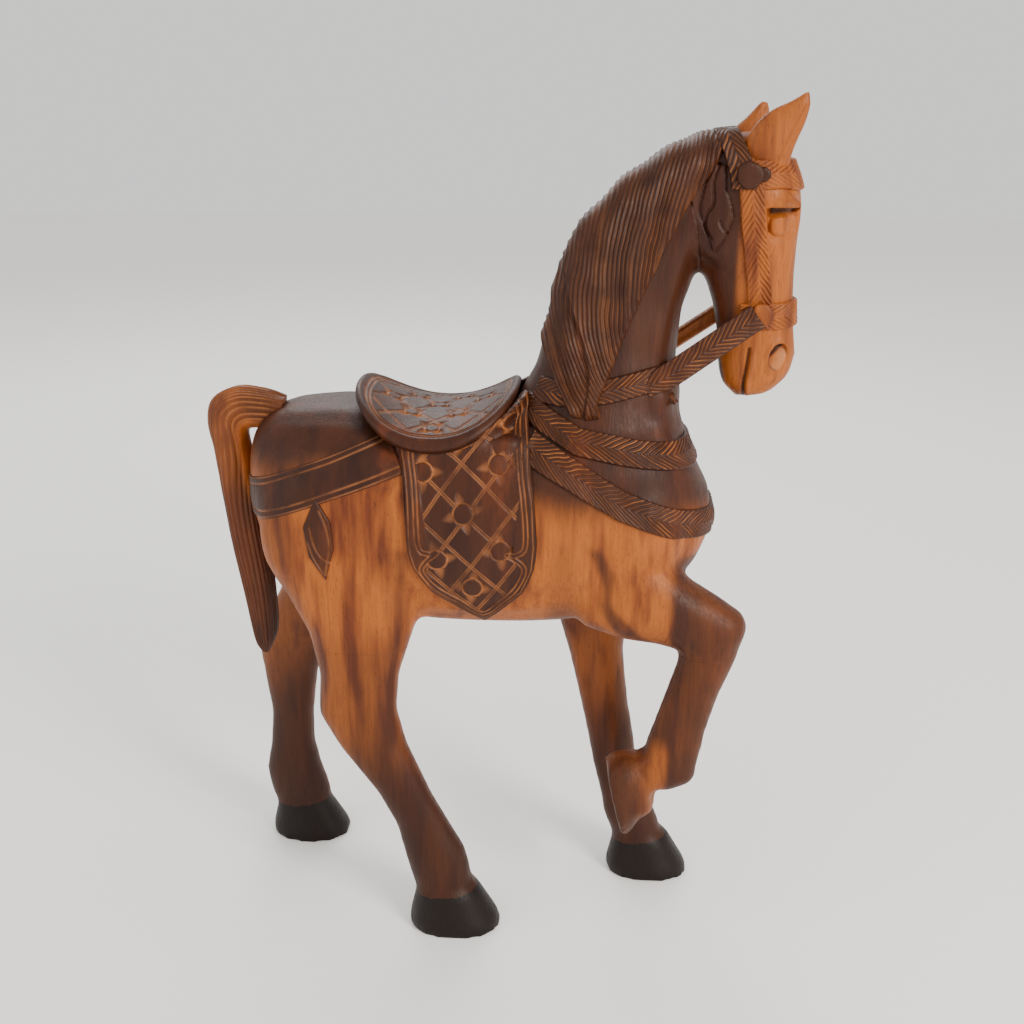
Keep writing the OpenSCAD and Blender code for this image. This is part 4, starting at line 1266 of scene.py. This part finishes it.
class CarveOrnaments(bpy.types.Operator):
    """Carve the breeching band, the haunch leaves, the rosettes and the boss of the breast"""
    bl_idname = "horse.carve_ornaments"
    bl_label = "Carve ornaments"

    def execute(self, context):
        finish, slot = "stained carved suar", "strap_wood"
        turn = math.radians
        band = band_round(BREECHING, 37 * MM, (-0.130, 0.0), (turn(-58), turn(-302)), samples=220, across=9)
        base = eased(spread(eased(band), 620, 60), 4)
        s, w, half = measures(base)
        from_edge = (half - np.abs(w)) / MM
        lines = np.maximum(vee(from_edge - 7.5, 1.4), 0.8 * vee(from_edge - 1.6, 1.1))
        lines = lines * (0.8 + 0.2 * wander(s, w, 20 * MM))
        height = (1.9 * np.clip(from_edge / 1.2 + 0.1, 0, 1) - 1.4 * lines) * MM
        breeching = sheet("breeching", base, height, 0.8 * lines, outward=base - heart_of(base))
        shown("breeching_band_carved", breeching, "breeching_band", material=finish, slot=slot)
        leaves = []
        rear, front = np.array(LEAF_REAR, dtype=float), np.array(LEAF_FRONT, dtype=float)
        for side in (-1, 1):
            rows = []
            for z in np.linspace(374.5, 451.5, 40):
                ends = np.interp(z, rear[:, 1], rear[:, 0]), np.interp(z, front[:, 1], front[:, 0])
                rows.append([hit(np.array([at_size(x, z)[0], side * 0.3, at_size(x, z)[1]]), (0, -side, 0))
                             for x in np.linspace(ends[0], ends[1], 13)])
            base = spread(eased(np.array(rows), 3), 120, 48)
            x, z = drawn(base)
            edge = np.minimum(x - np.interp(z, rear[:, 1], rear[:, 0]),
                              np.interp(z, front[:, 1], front[:, 0]) - x)
            cuts = 0 * x
            for line, depth in (([[-167, 424], [-164, 408], [-158, 397], [-150, 391]], 2.0),
                                ([[-158, 440], [-152, 424], [-150, 404], [-154, 380]], 1.6),
                                ([[-170, 410], [-164, 394], [-156, 381]], 1.2)):
                cuts = np.maximum(cuts, depth * vee(line_distance(x, z, rounded_line(line)), 1.6))
            height = (2.4 * np.sqrt(1 - (1 - np.clip(edge / 3.0, 0, 1)) ** 2) - cuts) * MM
            leaves.append(sheet("leaf", base, height, 0.25 * cuts, outward=np.array([0, side, 0])))
        shown("haunch_leaves_carved", merged("leaves", *leaves), "haunch_leaves", material=finish, slot=slot)
        upper, lower = [], []
        for side in (-1, 1):
            upper.append(disc("brow", (0.2220, side * 0.0487, 0.7345), side, 11.3 * MM, 16, 1.0))
            upper.append(disc("brow", (0.2335, side * 0.0462, 0.7350), side, 6.2 * MM, 12, 2.0))
            lower.append(disc("bit", (0.2398, side * 0.0392, 0.6125), side, 10.6 * MM, 14, 3.0))
        shown("brow_rosettes_carved", merged("brow", *upper), "brow_rosettes", material=finish, slot=slot)
        shown("bit_rosettes_carved", merged("bit", *lower), "bit_rosettes",
              material="carved suar sapwood", slot=slot)
        # the boss: an upright oval with a ring cut round it
        u = np.linspace(0.03, math.pi - 0.03, 60)[:, None]
        angle = np.linspace(0, 2 * math.pi, 120, endpoint=False)[None, :]
        x, z = at_size(196 + 11.3 * np.cos(u) + 0 * angle, 414 + 20 * np.sin(u) * np.sin(angle))
        grid = np.stack([x, 16 * MM * np.sin(u) * np.cos(angle) + MM, z], axis=2)
        ring = vee(np.sin(u) - 0.62, 0.09) * (np.cos(u) > 0) + 0 * angle
        petal = np.clip(np.cos(4 * angle), 0, 1) * (np.sin(u) < 0.5) * (np.cos(u) > 0) * np.sin(u)
        cuts = np.maximum(ring, petal)
        shown("breast_boss_carved", tube("boss", grid, -1.3 * MM * cuts, 0.6 * cuts), "breast_boss",
              material=finish, slot=slot)
        return {"FINISHED"}


class CarveSaddle(bpy.types.Operator):
    """Carve the seat and its two flaps with lattice and flowers"""
    bl_idname = "horse.carve_saddle"
    bl_label = "Carve saddle"

    def execute(self, context):
        for side, name in SIDES:
            left = np.array(FLAP[:7], dtype=float)[::-1]
            right = np.array(FLAP[6:], dtype=float)

            def reach(x):
                """How far out the flap stands under the seat's rim."""
                inside = np.clip(x, SEAT_MIDDLE - 0.97 * SEAT_LENGTH, SEAT_MIDDLE + 0.97 * SEAT_LENGTH)
                return np.clip(seat_half_width(inside) - 6, 34, 82)

            def lift(x, z):
                """Height of a point once the flap's top is fitted under the seat."""
                top = seat_hollow(x, reach(x)) - 7.0
                return z + (top - 513) * np.clip((z - 430) / 83, 0, 1)

            rows, skin = [], []
            for z in np.linspace(513, 330.6, 76):
                x0 = np.interp(z, left[:, 1], left[:, 0])
                x1 = np.interp(z, right[:, 1], right[:, 0])
                x1 = np.interp(lift(x1, z), right[:, 1], right[:, 0])
                row, bare = [], []
                for x in np.linspace(x0, x1, 25):
                    at = at_size(x, lift(x, z))
                    found = hit((at[0], side * 0.3, at[1]), (0, -side, 0))
                    if found is None:
                        # past the edge of the back the skin goes on level
                        depth = bare[-1][1] if bare else skin[-1][0][1] if skin else side * 0.08
                        found = np.array([at[0], depth, at[1]])
                    out = reach(x) * step((lift(x, z) - 468) / 34) * DRAWN
                    bare.append(found)
                    row.append(np.array([found[0], side * max(abs(found[1]), out), found[2]]))
                rows.append(row)
                skin.append(bare)
            base = spread(eased(np.array(rows), 12), 310, 180)
            skin = spread(eased(np.array(skin), 12), 310, 180)
            low = skin - np.array([0, side, 0]) * 5 * MM
            low[..., 1] = side * np.clip(np.abs(low[..., 1]), 25 * MM, np.abs(base[..., 1]) - 3 * MM)
            height, groove = flap_carving(base)
            mesh = sheet(name, base, height, groove, outward=np.array([0, side, 0]), low=low)
            shown(name + "_saddle_flap_carved", mesh, name + "_saddle_flap",
                  material="stained carved suar", slot="saddle_wood")
        shown("saddle_seat_carved", seat_mesh(), "saddle_seat", material="stained carved suar",
              slot="saddle_wood")
        return {"FINISHED"}


class CarveMane(bpy.types.Operator):
    """Carve the locks of the mane over the crest and down the right side"""
    bl_idname = "horse.carve_mane"
    bl_label = "Carve mane"

    def execute(self, context):
        count = 110
        grid = []
        for t in np.linspace(0, len(CREST) - 1, count):
            part = crest_row(between(CREST, t), between(CREST_WAY, t))
            s = np.concatenate([[0], np.cumsum(np.linalg.norm(np.diff(part, axis=0), axis=1))])
            at = np.linspace(0, s[-1], 60)
            grid.append(np.stack([np.interp(at, s, part[:, i]) for i in range(3)], axis=1))
        base = eased(np.array(grid), 5)
        base = spread(base, 400, 220)
        height, groove = mane_carving(base)
        mesh = sheet("mane", base, height, groove, outward=base - np.array([0.10, 0, 0.62]))
        shown("mane_carved", mesh, "mane", material="stained carved suar", slot="mane_wood")
        return {"FINISHED"}


class SetStage(bpy.types.Operator):
    """Set the floor, the lights and the camera"""
    bl_idname = "horse.set_stage"
    bl_label = "Set stage"

    def execute(self, context):
        s = context.scene.horse_stage
        bm = bmesh.new()
        bmesh.ops.create_grid(bm, x_segments=1, y_segments=1, size=6)
        mesh = bpy.data.meshes.new("floor")
        bm.to_mesh(mesh)
        bm.free()
        floor = bpy.data.objects.new("floor", mesh)
        context.scene.collection.objects.link(floor)
        paper = bpy.data.materials.new("pale matt board")
        paper.use_nodes = True
        paper.node_tree.nodes["Principled BSDF"].inputs["Base Color"].default_value = linear("#fbfaf8")
        paper.node_tree.nodes["Principled BSDF"].inputs["Roughness"].default_value = 0.9
        mesh.materials.append(paper)
        for name, at, size, power in (("key", (1.9, -1.9, 1.7), 0.9, 85),
                                      ("fill", (-2.2, -1.6, 1.6), 2.4, 20),
                                      ("rim", (-0.6, 2.2, 2.4), 1.6, 40)):
            lamp = bpy.data.lights.new(name, "AREA")
            lamp.size = size
            lamp.energy = power
            lamp.color = (1.0, 0.93, 0.85) if name == "key" else (1.0, 1.0, 1.0)
            obj = bpy.data.objects.new(name, lamp)
            obj.location = at
            obj.rotation_euler = (Vector((0, 0, 0.42)) - Vector(at)).to_track_quat("-Z", "Y").to_euler()
            context.scene.collection.objects.link(obj)
        world = bpy.data.worlds.new("studio")
        world.use_nodes = True
        world.node_tree.nodes["Background"].inputs[0].default_value = linear("#fbfaf8")
        world.node_tree.nodes["Background"].inputs[1].default_value = 1.05
        context.scene.world = world
        lens = bpy.data.cameras.new("camera")
        lens.lens = s.lens
        lens.sensor_width = 36
        camera = bpy.data.objects.new("camera", lens)
        camera.location = s.camera
        camera.rotation_euler = (math.pi / 2 - s.dip, 0, s.turn)
        context.scene.collection.objects.link(camera)
        context.scene.camera = camera
        return {"FINISHED"}


class HorsePanel(bpy.types.Panel):
    bl_idname = "VIEW3D_PT_horse"
    bl_label = "Carved horse"
    bl_space_type = "VIEW_3D"
    bl_region_type = "UI"
    bl_category = "Horse"

    def draw(self, context):
        for carving in STEPS:
            self.layout.operator(carving.bl_idname)


GROUPS = {"horse_blocks": HorseBlocks, "horse_carving": HorseCarving, "horse_wood": HorseWood,
          "horse_stage": HorseStage}
STEPS = [CarveBody, CarveEarsAndTail, CarveHarness, CarveReins, CarveOrnaments, CarveSaddle, CarveMane,
         SetStage]


def register():
    for name, group in GROUPS.items():
        bpy.utils.register_class(group)
        setattr(bpy.types.Scene, name, PointerProperty(type=group))
    for cls in STEPS + [HorsePanel]:
        bpy.utils.register_class(cls)


def unregister():
    for cls in reversed(STEPS + [HorsePanel]):
        bpy.utils.unregister_class(cls)
    for name, group in GROUPS.items():
        delattr(bpy.types.Scene, name)
        bpy.utils.unregister_class(group)


def main():
    register()
    for carving in STEPS:
        area, name = carving.bl_idname.split(".")
        getattr(getattr(bpy.ops, area), name)()


if __name__ == "__main__":
    main()
